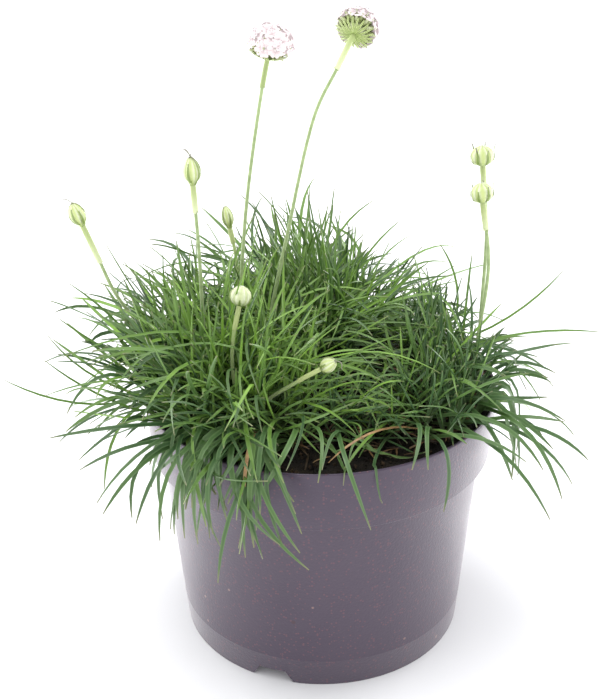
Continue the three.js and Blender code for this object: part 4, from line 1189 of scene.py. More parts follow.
def along_line(line, reach, places):
    """Points of a line at given distances along it, with the two cross axes and the direction there."""
    centre = np.stack([np.interp(places, reach, line[:, k]) for k in range(3)], axis=1)
    ahead = unit(np.gradient(line, axis=0))
    along = unit(np.stack([np.interp(places, reach, ahead[:, k]) for k in range(3)], axis=1))
    side = unit(np.array([1.0, 0, 0]) - along * along[:, :1])
    return centre, side, np.cross(along, side), along


def tube(centre, side, other, radius, sides, ripple=0.0, lobes=3):
    """Rings about a line: at angle a, radius (1 + ripple cos(lobes a)) along side cos a + other sin a."""
    angle = 2 * np.pi * np.arange(sides) / sides
    r = np.reshape(radius, (-1, 1)) * (1 + ripple * np.cos(lobes * angle))
    return (centre[:, None] + (r * np.cos(angle))[..., None] * side[:, None]
            + (r * np.sin(angle))[..., None] * other[:, None])


print("lengths of the stems:", {name: int(stem_curve(name)[1][-1]) for name in FLOWERS})


# %% Stem material
def stem_material():
    """Grey-green with a soft sheen of down, paler in streaks. Painted light makes it paler and yellower low
    down and in three whole stems, against the shade of the leaves round them.
    """
    material, tree, shader = new_material("downy_stem", Roughness=0.6, Specular_IOR_Level=0.3,
                                          Sheen_Weight=0.25, Sheen_Roughness=0.5)
    streak = use_group(tree, MOTTLE, Scale=320, Detail=3, Low=0.3, High=0.7)
    colour = blend(tree, streak.outputs["Mask"], (0.165, 0.225, 0.090), (0.255, 0.325, 0.155))
    # painted light: the lower stem is paler, against the shade of the leaves round it
    low = ranged(tree, own_value(tree, "along"), 0.1, 0.5, 0.7, 0)
    colour = blend(tree, low, colour, (0.25, 0.36, 0.13))
    # painted light: the listed stems are paler all along
    painted_light = ranged(tree, own_value(tree, "painted_light"), 0, 1, 0, 0.8)
    colour = blend(tree, painted_light, colour, (0.34, 0.43, 0.17))
    tree.links.new(colour, shader.inputs["Base Color"])
    bumped(tree, shader, streak.outputs["Mask"], 0.00004)
    return material


STEM = stem_material()
print("stem:", len(STEM.node_tree.nodes), "nodes")


# %% Build the stems
STEM_ROWS, STEM_SIDES = 42, 12
STEM_TAPER, STEM_RIDGE = 0.1, 0.04
# stems made paler all along by painted light, against the shade round them
PAINTED_LIGHT_STEMS = ("bud_low", "bud_round", "bud_small")


def build_stem(name):
    """A tube with a faint triple ridge that tapers by a tenth to the foot of the head."""
    line, reach = stem_curve(name)
    places = np.linspace(0, reach[-1], STEM_ROWS)
    centre, side, other, _ = along_line(line, reach, places)
    share = places / reach[-1]
    radius = STEM_RADIUS * (1 - STEM_TAPER * share)
    points = tube(centre, side, other, radius, STEM_SIDES, ripple=STEM_RIDGE)
    faces = [grid_quads(STEM_ROWS, STEM_SIDES), end_caps(STEM_ROWS, STEM_SIDES)]
    painted_light = np.full(STEM_ROWS * STEM_SIDES, float(name in PAINTED_LIGHT_STEMS))
    mesh = new_mesh(f"stalk_{name}", points, faces, {"along": np.repeat(share, STEM_SIDES), "painted_light": painted_light})
    return new_piece(f"stalk_{name}", mesh, STEM, [f"stem_{name}"], sharp=60)


stems = [build_stem(name) for name in FLOWERS]
print("stems:", len(stems))

# %% [markdown]
# ## Heads, in their own place
# A head stands on the end of its stem and leans as the stem does. Its object could be moved and turned,
# but a finished piece keeps its place in its own mesh, so that its pattern stays where it is. So all its
# parts are worked out upright, with the foot at the origin, and their points are then turned once, by the
# smallest turn that takes straight up to the stem's direction.

# %% Turning a head onto its stem
def head_place(name):
    """The foot of a head and the matrix that turns straight up to the stem's end direction t.

    With v = up x t and c = t.z the smallest turn is I + [v] + [v][v] / (1 + c), where [v] w means v x w.
    """
    line, _ = stem_curve(name)
    t = unit(line[-1] - line[-2])
    x, y, z = np.cross(UP, t)
    cross = np.array([[0, -z, y], [z, 0, -x], [-y, x, 0]])
    return line[-1], np.eye(3) + cross + cross @ cross / (1 + t[2])


def placed(name, points):
    """Points of an upright head moved to their place on the stem."""
    foot, turn = head_place(name)
    return points.reshape(-1, 3) @ turn.T + foot


def scale_sheet(profile, outline, angles, width, rows, columns, keel):
    """Scales on a turned form: point (u, v) stands at profile(v), turned by u w(v) / r from the middle.

    profile(v) gives radius r and height for v from 0 at the foot to 1 at the tip, and outline(v) the share
    of the width there, of which w(v) is half. Keel raises the middle line over the form.
    """
    v = np.linspace(0, 1, rows)
    u = np.linspace(-1, 1, columns)
    r, z = profile(v)
    half = width / 2 * outline(v)
    turn = angles[:, None, None] + u * (half / np.maximum(r, half * 0.6))[:, None]
    out = r[:, None] + keel * (1 - u**2)
    tall = np.broadcast_to(z[:, None], turn.shape)
    points = np.stack([out * np.cos(turn), out * np.sin(turn), tall], axis=-1)
    edge = np.broadcast_to(np.abs(u), turn.shape)
    along = np.broadcast_to(v[:, None], turn.shape)
    return points, edge, along


def sheet_faces(count, rows, columns):
    """Quads of many open grids of the same size."""
    return copied(grid_quads(rows, columns, ring=False), count, rows * columns)


def thicken(piece, thickness, offset=1.0):
    """Give every thin sheet of a piece a back and a rim, so that it is a closed body."""
    solid = piece.modifiers.new("thickness", "SOLIDIFY")
    solid.thickness = thickness * MM
    solid.offset = offset
    solid.use_even_offset = False


lean_of = {name: round(float(np.degrees(np.arccos(head_place(name)[1][2, 2])))) for name in FLOWERS}
print("lean of the heads in degrees:", lean_of)

# %% [markdown]
# ## Sheaths and bracts
# Under each head a papery sheath hangs down round the stem, and above it narrow bracts hold the head in
# rings. They are dry and thin: green along the middle, clear and pale towards the margin. Flat cards with
# a picture of a bract would look right from one side only. So the sheath is a slightly loose tube with a
# torn lower end, and the bracts are scales cut from a turned form, thickened to a real body.

# %% Bract material
def bract_material():
    """Green along the middle, pale yellow-green beside it, a papery margin and a grey-brown tip.
    It also glows faintly in its own colour, which is painted light.
    """
    material, tree, shader = new_material("papery_bract", Roughness=0.5, Specular_IOR_Level=0.35,
                                          Emission_Strength=0.08)
    edge, along, dry = own_value(tree, "edge"), own_value(tree, "along"), own_value(tree, "dry")
    vein = use_group(tree, MOTTLE, Scale=700, Detail=3, Low=0.3, High=0.7)
    colour = blend(tree, ranged(tree, edge, 0.1, 0.4), (0.120, 0.172, 0.040), (0.345, 0.40, 0.16))
    colour = blend(tree, ranged(tree, edge, 0.5, 0.95), colour, (0.49, 0.52, 0.37))
    colour = blend(tree, ranged(tree, along, 0.0, 0.35, 0.5, 0), colour, (0.17, 0.25, 0.05))
    colour = blend(tree, ranged(tree, vein.outputs["Mask"], 0, 1, 0, 0.25), colour, (0.20, 0.26, 0.08))
    colour = blend(tree, dry, colour, (0.43, 0.47, 0.29))
    colour = blend(tree, ranged(tree, along, 1.0, 2.0), colour, (0.145, 0.140, 0.105))
    tree.links.new(colour, shader.inputs["Base Color"])
    # painted light: a faint glow in the bract's own colour
    tree.links.new(colour, shader.inputs["Emission Color"])
    bumped(tree, shader, vein.outputs["Mask"], 0.00005)
    return material


BRACT = bract_material()
print("bract:", len(BRACT.node_tree.nodes), "nodes")


# %% Sheaths
SHEATH_ROWS, SHEATH_SIDES = 9, 14
# how much closer to the stem a sheath sits, in mm, and the edge and dryness that give it one plain tone
SHEATHS = {
    "open_left": (0.22, 0.16, 0.1),
    "bud_low": (0.28, 0.42, 0.1),
    "bud_round": (0.25, 0.42, 0.1),
    "bud_small": (0.12, 0.30, 0.1),
}


def add_sheath(parts, name):
    """The loose tube round the top of the stem, with a lower end that is flared a little and torn.

    Its radius is 1.28 + 0.10 sin(pi s) + 0.12 (1 - s)^6 for s from 0 at the lower end to 1 at the head.
    Sheaths that the table leaves out are paler and drier towards their lower end.
    """
    length = FLOWERS[name].sheath
    line, reach = stem_curve(name)
    s = np.linspace(0, 1, SHEATH_ROWS)
    places = reach[-1] - length + s * (length + 0.2)
    centre, side, other, along = along_line(line, reach, places)
    closer, edge, dry = SHEATHS.get(name, (0.0, None, None))
    radius = 1.28 + 0.10 * np.sin(np.pi * s) + 0.12 * (1 - s) ** 6 - closer
    outer = tube(centre, side, other, radius, SHEATH_SIDES, ripple=0.035, lobes=4)
    inner = tube(centre, side, other, np.full(SHEATH_ROWS, STEM_RADIUS * 0.8), SHEATH_SIDES)
    tear = 1.3 * (chance(np.arange(SHEATH_SIDES), len(name), 2.0) - 0.3)
    outer[0] -= tear[:, None] * along[0]
    rings = np.concatenate([inner[:1], outer, inner[-1:]])
    share = np.concatenate([[0], s, [1]])[:, None] + np.zeros(SHEATH_SIDES)
    faces = [grid_quads(len(rings), SHEATH_SIDES), end_caps(len(rings), SHEATH_SIDES)]
    if edge is None:
        edge, dry = 0.22 + 0.13 * (1 - share), 0.15 + 0.7 * np.clip(1 - 1.5 * share, 0, 1)
    parts.add(rings, faces, edge=edge, along=1.0, dry=dry)


print("lengths of the sheaths:", {name: flower.sheath for name, flower in FLOWERS.items()})


# %% Forms of buds and cups
SCALE_ROWS, SCALE_COLUMNS = 9, 5
# how slim a bud is beside its radius, and how far it opens from an egg, 0, to a cup, 1
BUD_FORMS = {
    "bud_far_left": (0.80, 0.0),
    "bud_left": (0.90, 0.0),
    "bud_small": (0.80, 0.0),
    "bud_low": (0.85, 0.1),
    "bud_round": (1.0, 0.75),
    "bud_right_upper": (1.0, 1.0),
    "bud_right_lower": (1.0, 0.9),
}


def pointed(v):
    """Share of a bract's width along it: sin(pi (0.12 + 0.83 v)^1.1)^0.8, which is broadest half way up."""
    return np.sin(np.pi * np.clip(0.12 + 0.83 * v, 0, 1) ** 1.1) ** 0.8


def bud_radius(name, v):
    """Radius of a bud at v from 0 at its foot to 1 at its top: an egg, a cup with a domed top, or between.

    The egg is R sin(pi v^0.9)^(0.95 - 0.45 v), and the dome R (1 - |2 v - 0.9|^2.6)^0.5. They are mixed by
    the bud's mouth. Near the foot no form is thinner than the stem.
    """
    slim, mouth = BUD_FORMS[name]
    egg = np.sin(np.pi * np.clip(v, 0.0, 0.99) ** 0.9) ** (0.95 - 0.45 * v)
    dome = np.sqrt(np.clip(1 - np.abs(2 * v - 0.9) ** 2.6, 0.01, 1))
    r = slim * FLOWERS[name].radius * ((1 - mouth) * egg + mouth * dome)
    return np.maximum(r, 1.1 * (1 - 3 * v))


def bud_form(name, share, out):
    """The turned form of a bud's broad bracts: its radius times a share, plus a distance out."""
    def profile(v):
        return share * bud_radius(name, v * 0.98) + out, FLOWERS[name].height * v - 0.6
    return profile


def cup_form(reach, height):
    """The turned form under an open head, an arc over a quarter turn t from the stem out to reach.

    Its radius is 1 + (reach - 1) sin t, and it climbs by height (1 - cos t)^0.9.
    """
    def profile(v):
        t = np.pi / 2 * v
        return 1.0 + (reach - 1.0) * np.sin(t), -0.9 + height * (1 - np.cos(t)) ** 0.9
    return profile


def add_scales(parts, name, profile, count, start, width, keel, rib=0.0, margin=1.0):
    """A ring of equal bracts round the head, with a look from rib in the middle to margin at the edges."""
    angles = start + 2 * np.pi * np.arange(count) / count
    points, edge, along = scale_sheet(profile, pointed, angles, width, SCALE_ROWS, SCALE_COLUMNS, keel)
    on_stem = placed(name, points).reshape(points.shape)
    look = rib + (margin - rib) * edge
    parts.add(on_stem, [sheet_faces(count, SCALE_ROWS, SCALE_COLUMNS)], edge=look, along=along)


half_up = {name: round(float(bud_radius(name, 0.5)), 1) for name in BUD_FORMS}
print("radius of the buds half way up:", half_up)


# %% Narrow bracts of the buds
RIB_ROWS, RIB_COLUMNS = 16, 3
# for each narrow bract its direction in radians, and its length in shares of the bud's height
RIBS = {
    "bud_far_left": [(0.2, 1.75), (2.0, 1.0), (3.3, 0.95), (4.35, 0.85), (5.4, 0.7)],
    "bud_left": [(0.0, 1.8), (1.3, 0.9), (2.5, 1.2), (4.4, 0.82), (5.75, 1.6)],
    "bud_small": [(0.4, 1.35), (2.3, 0.9), (3.9, 1.0), (5.3, 0.7)],
    "bud_low": [(0.2, 0.5), (2.4, 1.9), (3.9, 0.6), (5.2, 0.45)],
    "bud_round": [(0.7, 0.6), (2.0, 0.5), (3.3, 0.8), (4.7, 0.4), (5.8, 0.5)],
    "bud_right_upper": [(0.1, 1.12), (1.2, 1.0), (2.2, 1.05), (3.2, 1.1), (4.25, 1.2), (5.1, 0.9)],
    "bud_right_lower": [(0.1, 1.0), (1.3, 0.95), (2.3, 0.9), (3.2, 1.18), (4.3, 0.7), (5.2, 0.9)],
}


def rib_path(name, v):
    """Where a narrow bract runs: up the bud's side to v = 1, then over its top or free of its rim.

    Over a closed bud the radius turns negative, so the tip lies on the far side of the axis, on a low arc.
    On an open cup the bract leaves the side at 0.6, stands up and leans out more and more.
    """
    radius, height = FLOWERS[name][:2]
    side = bud_radius(name, np.minimum(v, 0.985)) + 0.25
    past = np.maximum(v - 1, 0)
    over = np.where(v > 1, 0.25 - 1.45 * radius * past, side)
    rise = height * (np.minimum(v, 1) + 0.30 * np.sin(np.pi * np.minimum(past / 0.75, 1) * 0.8))
    free = np.maximum(v - 0.6, 0)
    cup = bud_radius(name, np.minimum(v, 0.6)) + 0.3 + radius * (0.1 * free + 0.9 * free**2)
    open_cup = BUD_FORMS[name][1] > 0.8
    return np.where(open_cup, cup, over), np.where(open_cup, height * v, rise) - 0.5


def add_ribs(parts, name):
    """Narrow green bracts up a bud, drawn out to dry threads at their tips.

    At a share s of its length the half width is 0.7 (0.8 + 0.4 sin(pi s^0.7)) (1 - s)^0.5, and never
    under 0.24 mm. Across it a bract is flat and lies square to the way out from the axis.
    """
    angle, length = np.array(RIBS[name]).T
    s = np.linspace(0, 1, RIB_ROWS)
    u = np.linspace(-1, 1, RIB_COLUMNS)
    r, z = rib_path(name, length[:, None] * s)
    half = np.maximum(0.7 * (0.8 + 0.4 * np.sin(np.pi * s**0.7)) * (1 - s) ** 0.5, 0.24)
    outward = np.stack([np.cos(angle), np.sin(angle), 0 * angle], axis=1)[:, None, None]
    across = np.stack([-np.sin(angle), np.cos(angle), 0 * angle], axis=1)[:, None, None]
    points = (outward * r[..., None, None] + UP * z[..., None, None]
              + across * (half[:, None] * u)[None, ..., None])
    edge = np.broadcast_to(0.22 * np.abs(u), points.shape[:3])
    tip = np.clip((length[:, None] * s - 0.72) / 0.25, 0, 1)
    along = np.broadcast_to((np.minimum(1, 0.2 + s) + tip)[..., None], points.shape[:3])
    on_stem = placed(name, points).reshape(points.shape)
    parts.add(on_stem, [sheet_faces(len(angle), RIB_ROWS, RIB_COLUMNS)], edge=edge, along=along)


print("narrow bracts:", sum(len(ribs) for ribs in RIBS.values()))


# %% Build the bracts
BRACT_THICKNESS = 0.18


def build_bracts(name):
    """The bracts of one head in a thickened piece, and its sheath in a second.

    An open head has three rings of bracts under it. A bud has two rings of five broad ones, half a step
    apart, with the narrow ones over them.
    """
    parts = Parts("edge", "along", "dry")
    if name.startswith("open"):
        add_scales(parts, name, cup_form(8.6, 2.6), 21, 0.2, 0.85, 0.12, margin=0.7)
        add_scales(parts, name, cup_form(6.4, 1.0), 17, 0.42, 0.9, 0.12, margin=0.6)
        add_scales(parts, name, cup_form(4.2, 0.2), 11, 0.1, 1.0, 0.12, margin=0.5)
    else:
        wide = FLOWERS[name].radius * BUD_FORMS[name][0] * 0.95
        rib = 0.65 if name == "bud_round" else 0.4
        add_scales(parts, name, bud_form(name, 0.90, 0.0), 5, 0.3, wide, 0.1, rib=rib)
        add_scales(parts, name, bud_form(name, 0.93, 0.1), 5, 0.3 + np.pi / 5, wide, 0.12, rib=rib)
        add_ribs(parts, name)
    scales = parts.mesh(f"scales_{name}")
    piece = new_piece(f"scales_{name}", scales, BRACT, [f"bracts_{name}"])
    thicken(piece, BRACT_THICKNESS)
    rest = Parts("edge", "along", "dry")
    add_sheath(rest, name)
    new_piece(f"sheath_{name}", rest.mesh(f"sheath_{name}"), BRACT, [f"bracts_{name}"], sharp=50)
    return piece


bracts = [build_bracts(name) for name in FLOWERS]
print("bracts:", sum(len(piece.data.polygons) for piece in bracts), "faces before thickening")

# %% [markdown]
# ## Closed buds
# Inside the bracts of a bud lies the young head, a pale egg of folded flowers. It shows through the gaps
# and at the tip. Single folded flowers would hardly show, so it is a turned form with shallow folds, just
# inside the bracts. It glows by a tenth of its colour, because light passes through young petals.

# %% Bud material
def bud_material():
    """Pale yellow-green, whiter towards the tip, with faint folds."""
    material, tree, shader = new_material("young_flowers", Roughness=0.5, Specular_IOR_Level=0.35,
                                          Emission_Strength=0.1)
    along = own_value(tree, "along")
    fold = use_group(tree, MOTTLE, Scale=480, Detail=3, Low=0.3, High=0.7)
    colour = blend(tree, ranged(tree, along, 0.1, 0.7), (0.36, 0.43, 0.16), (0.56, 0.58, 0.46))
    colour = blend(tree, ranged(tree, fold.outputs["Mask"], 0, 1, 0, 0.3), colour, (0.36, 0.40, 0.24))
    tree.links.new(colour, shader.inputs["Base Color"])
    # painted light: the egg glows faintly in its own colour, for light passing through young petals
    tree.links.new(colour, shader.inputs["Emission Color"])
    bumped(tree, shader, fold.outputs["Mask"], 0.0001)
    return material


BUD = bud_material()
print("bud:", len(BUD.node_tree.nodes), "nodes")


# %% Build the buds
EGG_ROWS, EGG_SIDES = 14, 20
EGG_SHARE = 0.9


def build_egg(name):
    """A folded egg: the bud's form at 0.9 of its radius, with five soft folds that turn as they rise.

    The more a bud is open, the more its top rises and falls four times round.
    """
    v = np.linspace(0.02, 0.99, EGG_ROWS)
    r = EGG_SHARE * bud_radius(name, v)[:, None]
    z = (0.2 + (FLOWERS[name].height - 0.9) * v)[:, None]
    angle = 2 * np.pi * np.arange(EGG_SIDES) / EGG_SIDES
    wave = 1 + 0.05 * np.cos(5 * angle + 2 * v[:, None])
    fold = BUD_FORMS[name][1] * 0.9 * np.cos(4 * angle + 1.0) * v[:, None] ** 6
    points = np.stack([r * wave * np.cos(angle), r * wave * np.sin(angle), z + fold], axis=2)
    faces = [grid_quads(EGG_ROWS, EGG_SIDES), end_caps(EGG_ROWS, EGG_SIDES)]
    mesh = new_mesh(f"egg_{name}", placed(name, points), faces, {"along": np.repeat(v, EGG_SIDES)})
    return new_piece(f"egg_{name}", mesh, BUD, [f"florets_{name}"], sharp=60)


eggs = [build_egg(name) for name in FLOWERS if name.startswith("bud")]
print("buds:", len(eggs))

# %% [markdown]
# ## Open heads
# An open head is a dome of small funnel flowers, each with a ribbed calyx and five notched petals that
# overlap its neighbours'. Instances scattered by nodes would do, but the export wants real meshes. So one
# flower is worked out upright and then turned onto every direction at once. The directions follow the
# golden angle, which fills a dome evenly. Thin petals let light through, so they glow a little of their
# own.

# %% Petal material
def petal_material():
    """White-pink petals, pinker towards their throat, with darker veins, and grey-mauve anthers."""
    material, tree, shader = new_material("thrift_petal", Roughness=0.55, Specular_IOR_Level=0.3,
                                          Emission_Strength=0.40)
    along, across, anther = own_value(tree, "along"), own_value(tree, "across"), own_value(tree, "anther")
    vein = use_group(tree, MOTTLE, Scale=620, Detail=3, Low=0.3, High=0.7)
    colour = blend(tree, ranged(tree, along, 0.1, 0.8), (0.385, 0.30, 0.305), (0.39, 0.345, 0.35))
    colour = blend(tree, ranged(tree, across, 0, 0.16, 0.4, 0), colour, (0.345, 0.245, 0.26))
    colour = blend(tree, ranged(tree, vein.outputs["Mask"], 0, 1, 0, 0.2), colour, (0.36, 0.285, 0.30))
    colour = blend(tree, anther, colour, (0.27, 0.24, 0.27))
    tree.links.new(colour, shader.inputs["Base Color"])
    # painted light: the petals glow, which also lightens their shaded sides; the anthers hardly glow
    glow = blend(tree, anther, (0.80, 0.71, 0.73), (0.05, 0.04, 0.05))
    tree.links.new(glow, shader.inputs["Emission Color"])
    bumped(tree, shader, vein.outputs["Mask"], 0.00005)
    return material


PETAL = petal_material()
print("petal:", len(PETAL.node_tree.nodes), "nodes")


# %% Places on the dome
FLORETS = 64
OPEN_FLORETS = 40
# height of the dome's middle, its height beside its radius, and the angle from its top down to its last row
DOME = {"middle": 3.9, "flat": 0.88, "widest": 112.0}


def dome_axes(count):
    """Places over a dome of radius 1, squashed in height, and for each its way out and two cross axes.

    Place k is turned by k golden angles, and the cosine of its angle from the top falls evenly with k.
    """
    k = np.arange(count) + 0.5
    down = 1 - k / count * (1 - np.cos(np.radians(DOME["widest"])))
    flat = np.sqrt(1 - down**2)
    turn = k * GOLDEN
    out = np.stack([flat * np.cos(turn), flat * np.sin(turn), down * DOME["flat"]], axis=1)
    axis = unit(out)
    side = unit(np.cross(axis, np.array([0.31, 0.2, 1.0])))
    return out, axis, side, np.cross(axis, side)


def onto_dome(shape, spin, reach):
    """One upright shape set on places of the dome, each turned its way out, with its own spin and reach."""
    out, axis, side, other = (part[:len(spin)] for part in dome_axes(FLORETS))
    c, s = np.cos(spin)[:, None], np.sin(spin)[:, None]
    x, y = side * c + other * s, other * c - side * s
    local = shape.reshape(1, -1, 3)
    place = out[:, None] * reach[:, None, None] + np.array([0, 0, DOME["middle"]])
    x, y, axis = x[:, None], y[:, None], axis[:, None]
    return place + (local[..., :1] * x + local[..., 1:2] * y + local[..., 2:] * axis)


print("places on the dome:", len(dome_axes(FLORETS)[0]))


# %% One petal
PETALS = 5
PETAL_ROWS, PETAL_COLUMNS = 6, 5


def petal_shape():
    """Five petals of one flower, with the share along and across them.

    With v along and u from -1 to 1 across, the half width is 0.35 + 1.55 sin(0.62 pi v)^1.1. The end is
    drawn in at its middle and corners for the notch, and each petal rises, then bends out and cups.
    """
    v = np.linspace(0, 1, PETAL_ROWS)[:, None]
    u = np.linspace(-1, 1, PETAL_COLUMNS)[None, :]
    half = 0.35 + 1.55 * np.sin(np.pi * 0.62 * v) ** 1.1
    reach = 0.35 + 3.5 * v * (1 - 0.10 * np.cos(np.pi * u) * v**4 - 0.16 * u**4 * v)
    z = -2.4 + 2.7 * np.sin(np.pi / 2 * v) ** 0.8 - 0.9 * v**3 + 0.28 * u**2 * v
    petal = np.stack([reach, half * u, z + 0 * u], axis=-1)
    angle = 2 * np.pi * np.arange(PETALS) / PETALS
    c, s, zero = np.cos(angle), np.sin(angle), 0 * angle
    turn = np.array([[c, -s, zero], [s, c, zero], [zero, zero, zero + 1]])
    petals = np.einsum("ijk,rcj->krci", turn, petal)
    petals[..., 2] += 0.12 * (np.arange(PETALS) % 2)[:, None, None]
    along = np.broadcast_to(v, petal.shape[:2])
    across = np.broadcast_to(np.abs(u), petal.shape[:2])
    return petals, np.tile(along, (PETALS, 1, 1)), np.tile(across, (PETALS, 1, 1))


print("points of one flower's petals:", petal_shape()[0].shape)


# %% Build the petals
PETAL_THICKNESS = 0.14
ANTHERS = 3


def build_petals(name):
    """The petals of one head as sheets with a real thickness, and its anthers as small grains."""
    draw = np.random.default_rng(len(name))
    spin = draw.uniform(0, 2 * np.pi, OPEN_FLORETS)
    reach = FLOWERS[name].radius - 1.0 + draw.uniform(-1.5, 0.9, OPEN_FLORETS)
    petals, along, across = petal_shape()
    sheets = PETALS * OPEN_FLORETS
    points = placed(name, onto_dome(petals, spin, reach)).reshape(sheets, PETAL_ROWS, PETAL_COLUMNS, 3)
    parts = Parts("along", "across", "anther")
    parts.add(points, [sheet_faces(sheets, PETAL_ROWS, PETAL_COLUMNS)],
              along=np.tile(along, (OPEN_FLORETS, 1, 1)), across=np.tile(across, (OPEN_FLORETS, 1, 1)))
    piece = new_piece(f"petals_{name}", parts.mesh(f"petals_{name}"), PETAL, [f"florets_{name}"])
    thicken(piece, PETAL_THICKNESS, offset=0.0)
    angle = 2 * np.pi * (np.arange(ANTHERS) + 0.5) / ANTHERS
    seat = np.stack([0.7 * np.cos(angle), 0.7 * np.sin(angle), 0.5 + 0 * angle], axis=1)
    shape = OCTAHEDRON * [0.26, 0.26, 0.34] + seat[:, None]
    grain = placed(name, onto_dome(shape, spin, reach)).reshape(-1, len(OCTAHEDRON), 3)
    grains = Parts("along", "across", "anther")
    grain_faces = copied(OCTAHEDRON_FACES, len(grain), len(OCTAHEDRON))
    grains.add(grain, [grain_faces], anther=1.0, along=1.0, across=1.0)
    new_piece(f"anthers_{name}", grains.mesh(f"anthers_{name}"), PETAL, [f"florets_{name}"])
    return piece


opened = [name for name in FLOWERS if name.startswith("open")]
petal_pieces = [build_petals(name) for name in opened]
print("petals:", [len(piece.data.polygons) for piece in petal_pieces], "faces before thickening")


# %% Build the funnels
CALYX_ROWS, CALYX_SIDES = 8, 10
KNOB_ROWS, KNOB_SIDES = 8, 16


def calyx_shape():
    """A ribbed funnel that widens to its mouth at v = 0.7, then closes to the tip of its folded petals."""
    v = np.linspace(0, 1, CALYX_ROWS)[:, None]
    angle = 2 * np.pi * np.arange(CALYX_SIDES)[None, :] / CALYX_SIDES
    grow, shut = np.minimum(v / 0.7, 1), np.maximum(v - 0.7, 0) / 0.3
    ribs = 1 + 0.2 * np.cos(5 * angle) * grow * (1 - shut)
    r = (0.40 + 0.62 * grow**1.2) * ribs * (1 - 0.8 * shut**1.5)
    z = -8.2 + 9.4 * v
    return np.stack([r * np.cos(angle), r * np.sin(angle), z + 0 * angle], axis=-1), v + 0 * angle


def build_calyces(name):
    """The ribbed funnels of one head that carry the petals, with the round knob that they stand on."""
    draw = np.random.default_rng(len(name) + 50)
    spin = draw.uniform(0, 2 * np.pi, FLORETS)
    reach = np.full(FLORETS, FLOWERS[name].radius - 1.7)
    funnel, share = calyx_shape()
    parts = Parts("edge", "along", "dry")
    points = placed(name, onto_dome(funnel, spin, reach)).reshape(FLORETS, CALYX_ROWS, CALYX_SIDES, 3)
    stride = CALYX_ROWS * CALYX_SIDES
    faces = [copied(grid_quads(CALYX_ROWS, CALYX_SIDES), FLORETS, stride),
             copied(end_caps(CALYX_ROWS, CALYX_SIDES), FLORETS, stride)]
    rib = 0.5 - 0.5 * np.cos(5 * 2 * np.pi * np.arange(CALYX_SIDES) / CALYX_SIDES)
    look = 0.05 + 0.75 * rib * (0.3 + 0.7 * share)
    closed = np.clip((share - 0.66) / 0.08, 0, 1)
    parts.add(points, faces, edge=np.broadcast_to(np.maximum(look, 0.6 * closed), points.shape[:3]),
              along=np.broadcast_to(1.0 + 0.35 * closed, points.shape[:3]))
    v = np.linspace(0.03, 0.97, KNOB_ROWS)
    knob = np.stack([4.6 * np.sin(np.pi * v), DOME["middle"] - 3.6 * np.cos(np.pi * v)], axis=1)
    rings = turned(knob, KNOB_SIDES)
    faces = [grid_quads(KNOB_ROWS, KNOB_SIDES), end_caps(KNOB_ROWS, KNOB_SIDES)]
    parts.add(placed(name, rings).reshape(rings.shape), faces, edge=0.8, along=1.0)
    return new_piece(f"calyces_{name}", parts.mesh(f"calyces_{name}"), BRACT, [f"florets_{name}"])


calyx_pieces = [build_calyces(name) for name in opened]
print("open heads:", len(calyx_pieces), "with", FLORETS, "flowers each")

# %% [markdown]
# ## Floor and light
# The light in the photograph is soft and comes from all round. A picture of a studio as the world would
# give that too, but it would bring its own colours. So the world is plain and near white, and broad lamps
# at the left, the right and above add the soft highlights on leaves and plastic. A bright floor lights
# the plant from below, most of all beside and behind the pot. The camera sees it as a plain pale floor,
# because a glowing one would eat the edges of thin leaves.

# %% Floor
FRONT_OF_POT = (0.0, -0.3, 0.0)


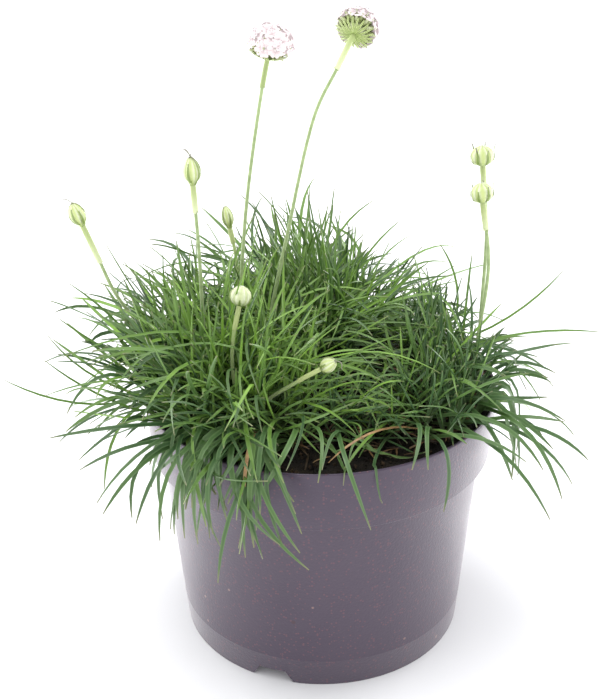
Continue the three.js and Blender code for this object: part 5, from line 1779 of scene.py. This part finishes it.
def floor_material():
    """Matt near-white to the camera, and brighter as a source of light beside and behind the pot.

    The strength grows with the distance from a point in front of the pot. Light Path tells the camera's
    rays, which see no glow, from all others.
    """
    material, tree, shader = new_material("pale_floor", Roughness=0.9, Specular_IOR_Level=0.1)
    cloud = use_group(tree, MOTTLE, Scale=3, Detail=2, Low=0.3, High=0.7)
    seen = add_node(tree, "ShaderNodeLightPath").outputs["Is Camera Ray"]
    pale = blend(tree, cloud.outputs["Mask"], (0.655, 0.655, 0.665), (0.665, 0.665, 0.675))
    colour = blend(tree, seen, (0.9, 0.9, 0.9), pale)
    tree.links.new(colour, shader.inputs["Base Color"])
    tree.links.new(colour, shader.inputs["Emission Color"])
    place = add_node(tree, "ShaderNodeTexCoord")
    ends = {0: place.outputs["Object"], 1: FRONT_OF_POT}
    away = add_node(tree, "ShaderNodeVectorMath", ends, operation="DISTANCE").outputs["Value"]
    glow = ranged(tree, away, 0.2, 0.42, 0.3, 2.0)
    unseen = calculated(tree, "SUBTRACT", 1.0, seen)
    tree.links.new(calculated(tree, "MULTIPLY", glow, unseen), shader.inputs["Emission Strength"])
    return material


def build_floor(half=6.0):
    """A wide flat floor that the camera never sees past."""
    corners = [(-half, -half, 0), (half, -half, 0), (half, half, 0), (-half, half, 0)]
    mesh = bpy.data.meshes.new("floor")
    mesh.from_pydata(corners, [], [(0, 1, 2, 3)])
    mesh.materials.append(floor_material())
    floor = bpy.data.objects.new("floor", mesh)
    bpy.context.scene.collection.objects.link(floor)


build_floor()
print("floor nodes:", len(bpy.data.materials["pale_floor"].node_tree.nodes))


# %% World and lamps
WORLD_COLOUR, WORLD_STRENGTH = (0.98, 0.985, 1.0, 1), 1.55
LAMP_TARGET = (0, 0, 0.1)


def soft_lamp(name, place, size, power):
    """A square lamp at a place, turned to face the pot."""
    lamp = bpy.data.lights.new(name, "AREA")
    lamp.shape = "SQUARE"
    lamp.size = size
    lamp.energy = power
    holder = bpy.data.objects.new(name, lamp)
    bpy.context.scene.collection.objects.link(holder)
    ahead = unit(np.subtract(LAMP_TARGET, place))
    right = unit(np.cross(ahead, UP + np.array([0, 1e-3, 0])))
    turn = Matrix(np.stack([right, np.cross(right, ahead), -ahead], axis=1).tolist()).to_4x4()
    holder.matrix_world = Matrix.Translation(place) @ turn


world = bpy.data.worlds.new("studio")
bpy.context.scene.world = world
world.use_nodes = True
backdrop = world.node_tree.nodes["Background"].inputs
backdrop["Color"].default_value = WORLD_COLOUR
backdrop["Strength"].default_value = WORLD_STRENGTH
soft_lamp("lamp_left", (-1.2, 0.9, 0.35), 1.1, 26)
soft_lamp("lamp_right", (1.2, 0.9, 0.35), 1.1, 26)
soft_lamp("lamp_top", (-0.3, -0.1, 1.6), 0.8, 14)
bpy.context.scene.view_settings.view_transform = "Standard"
print("lamps:", [item.name for item in bpy.data.lights])
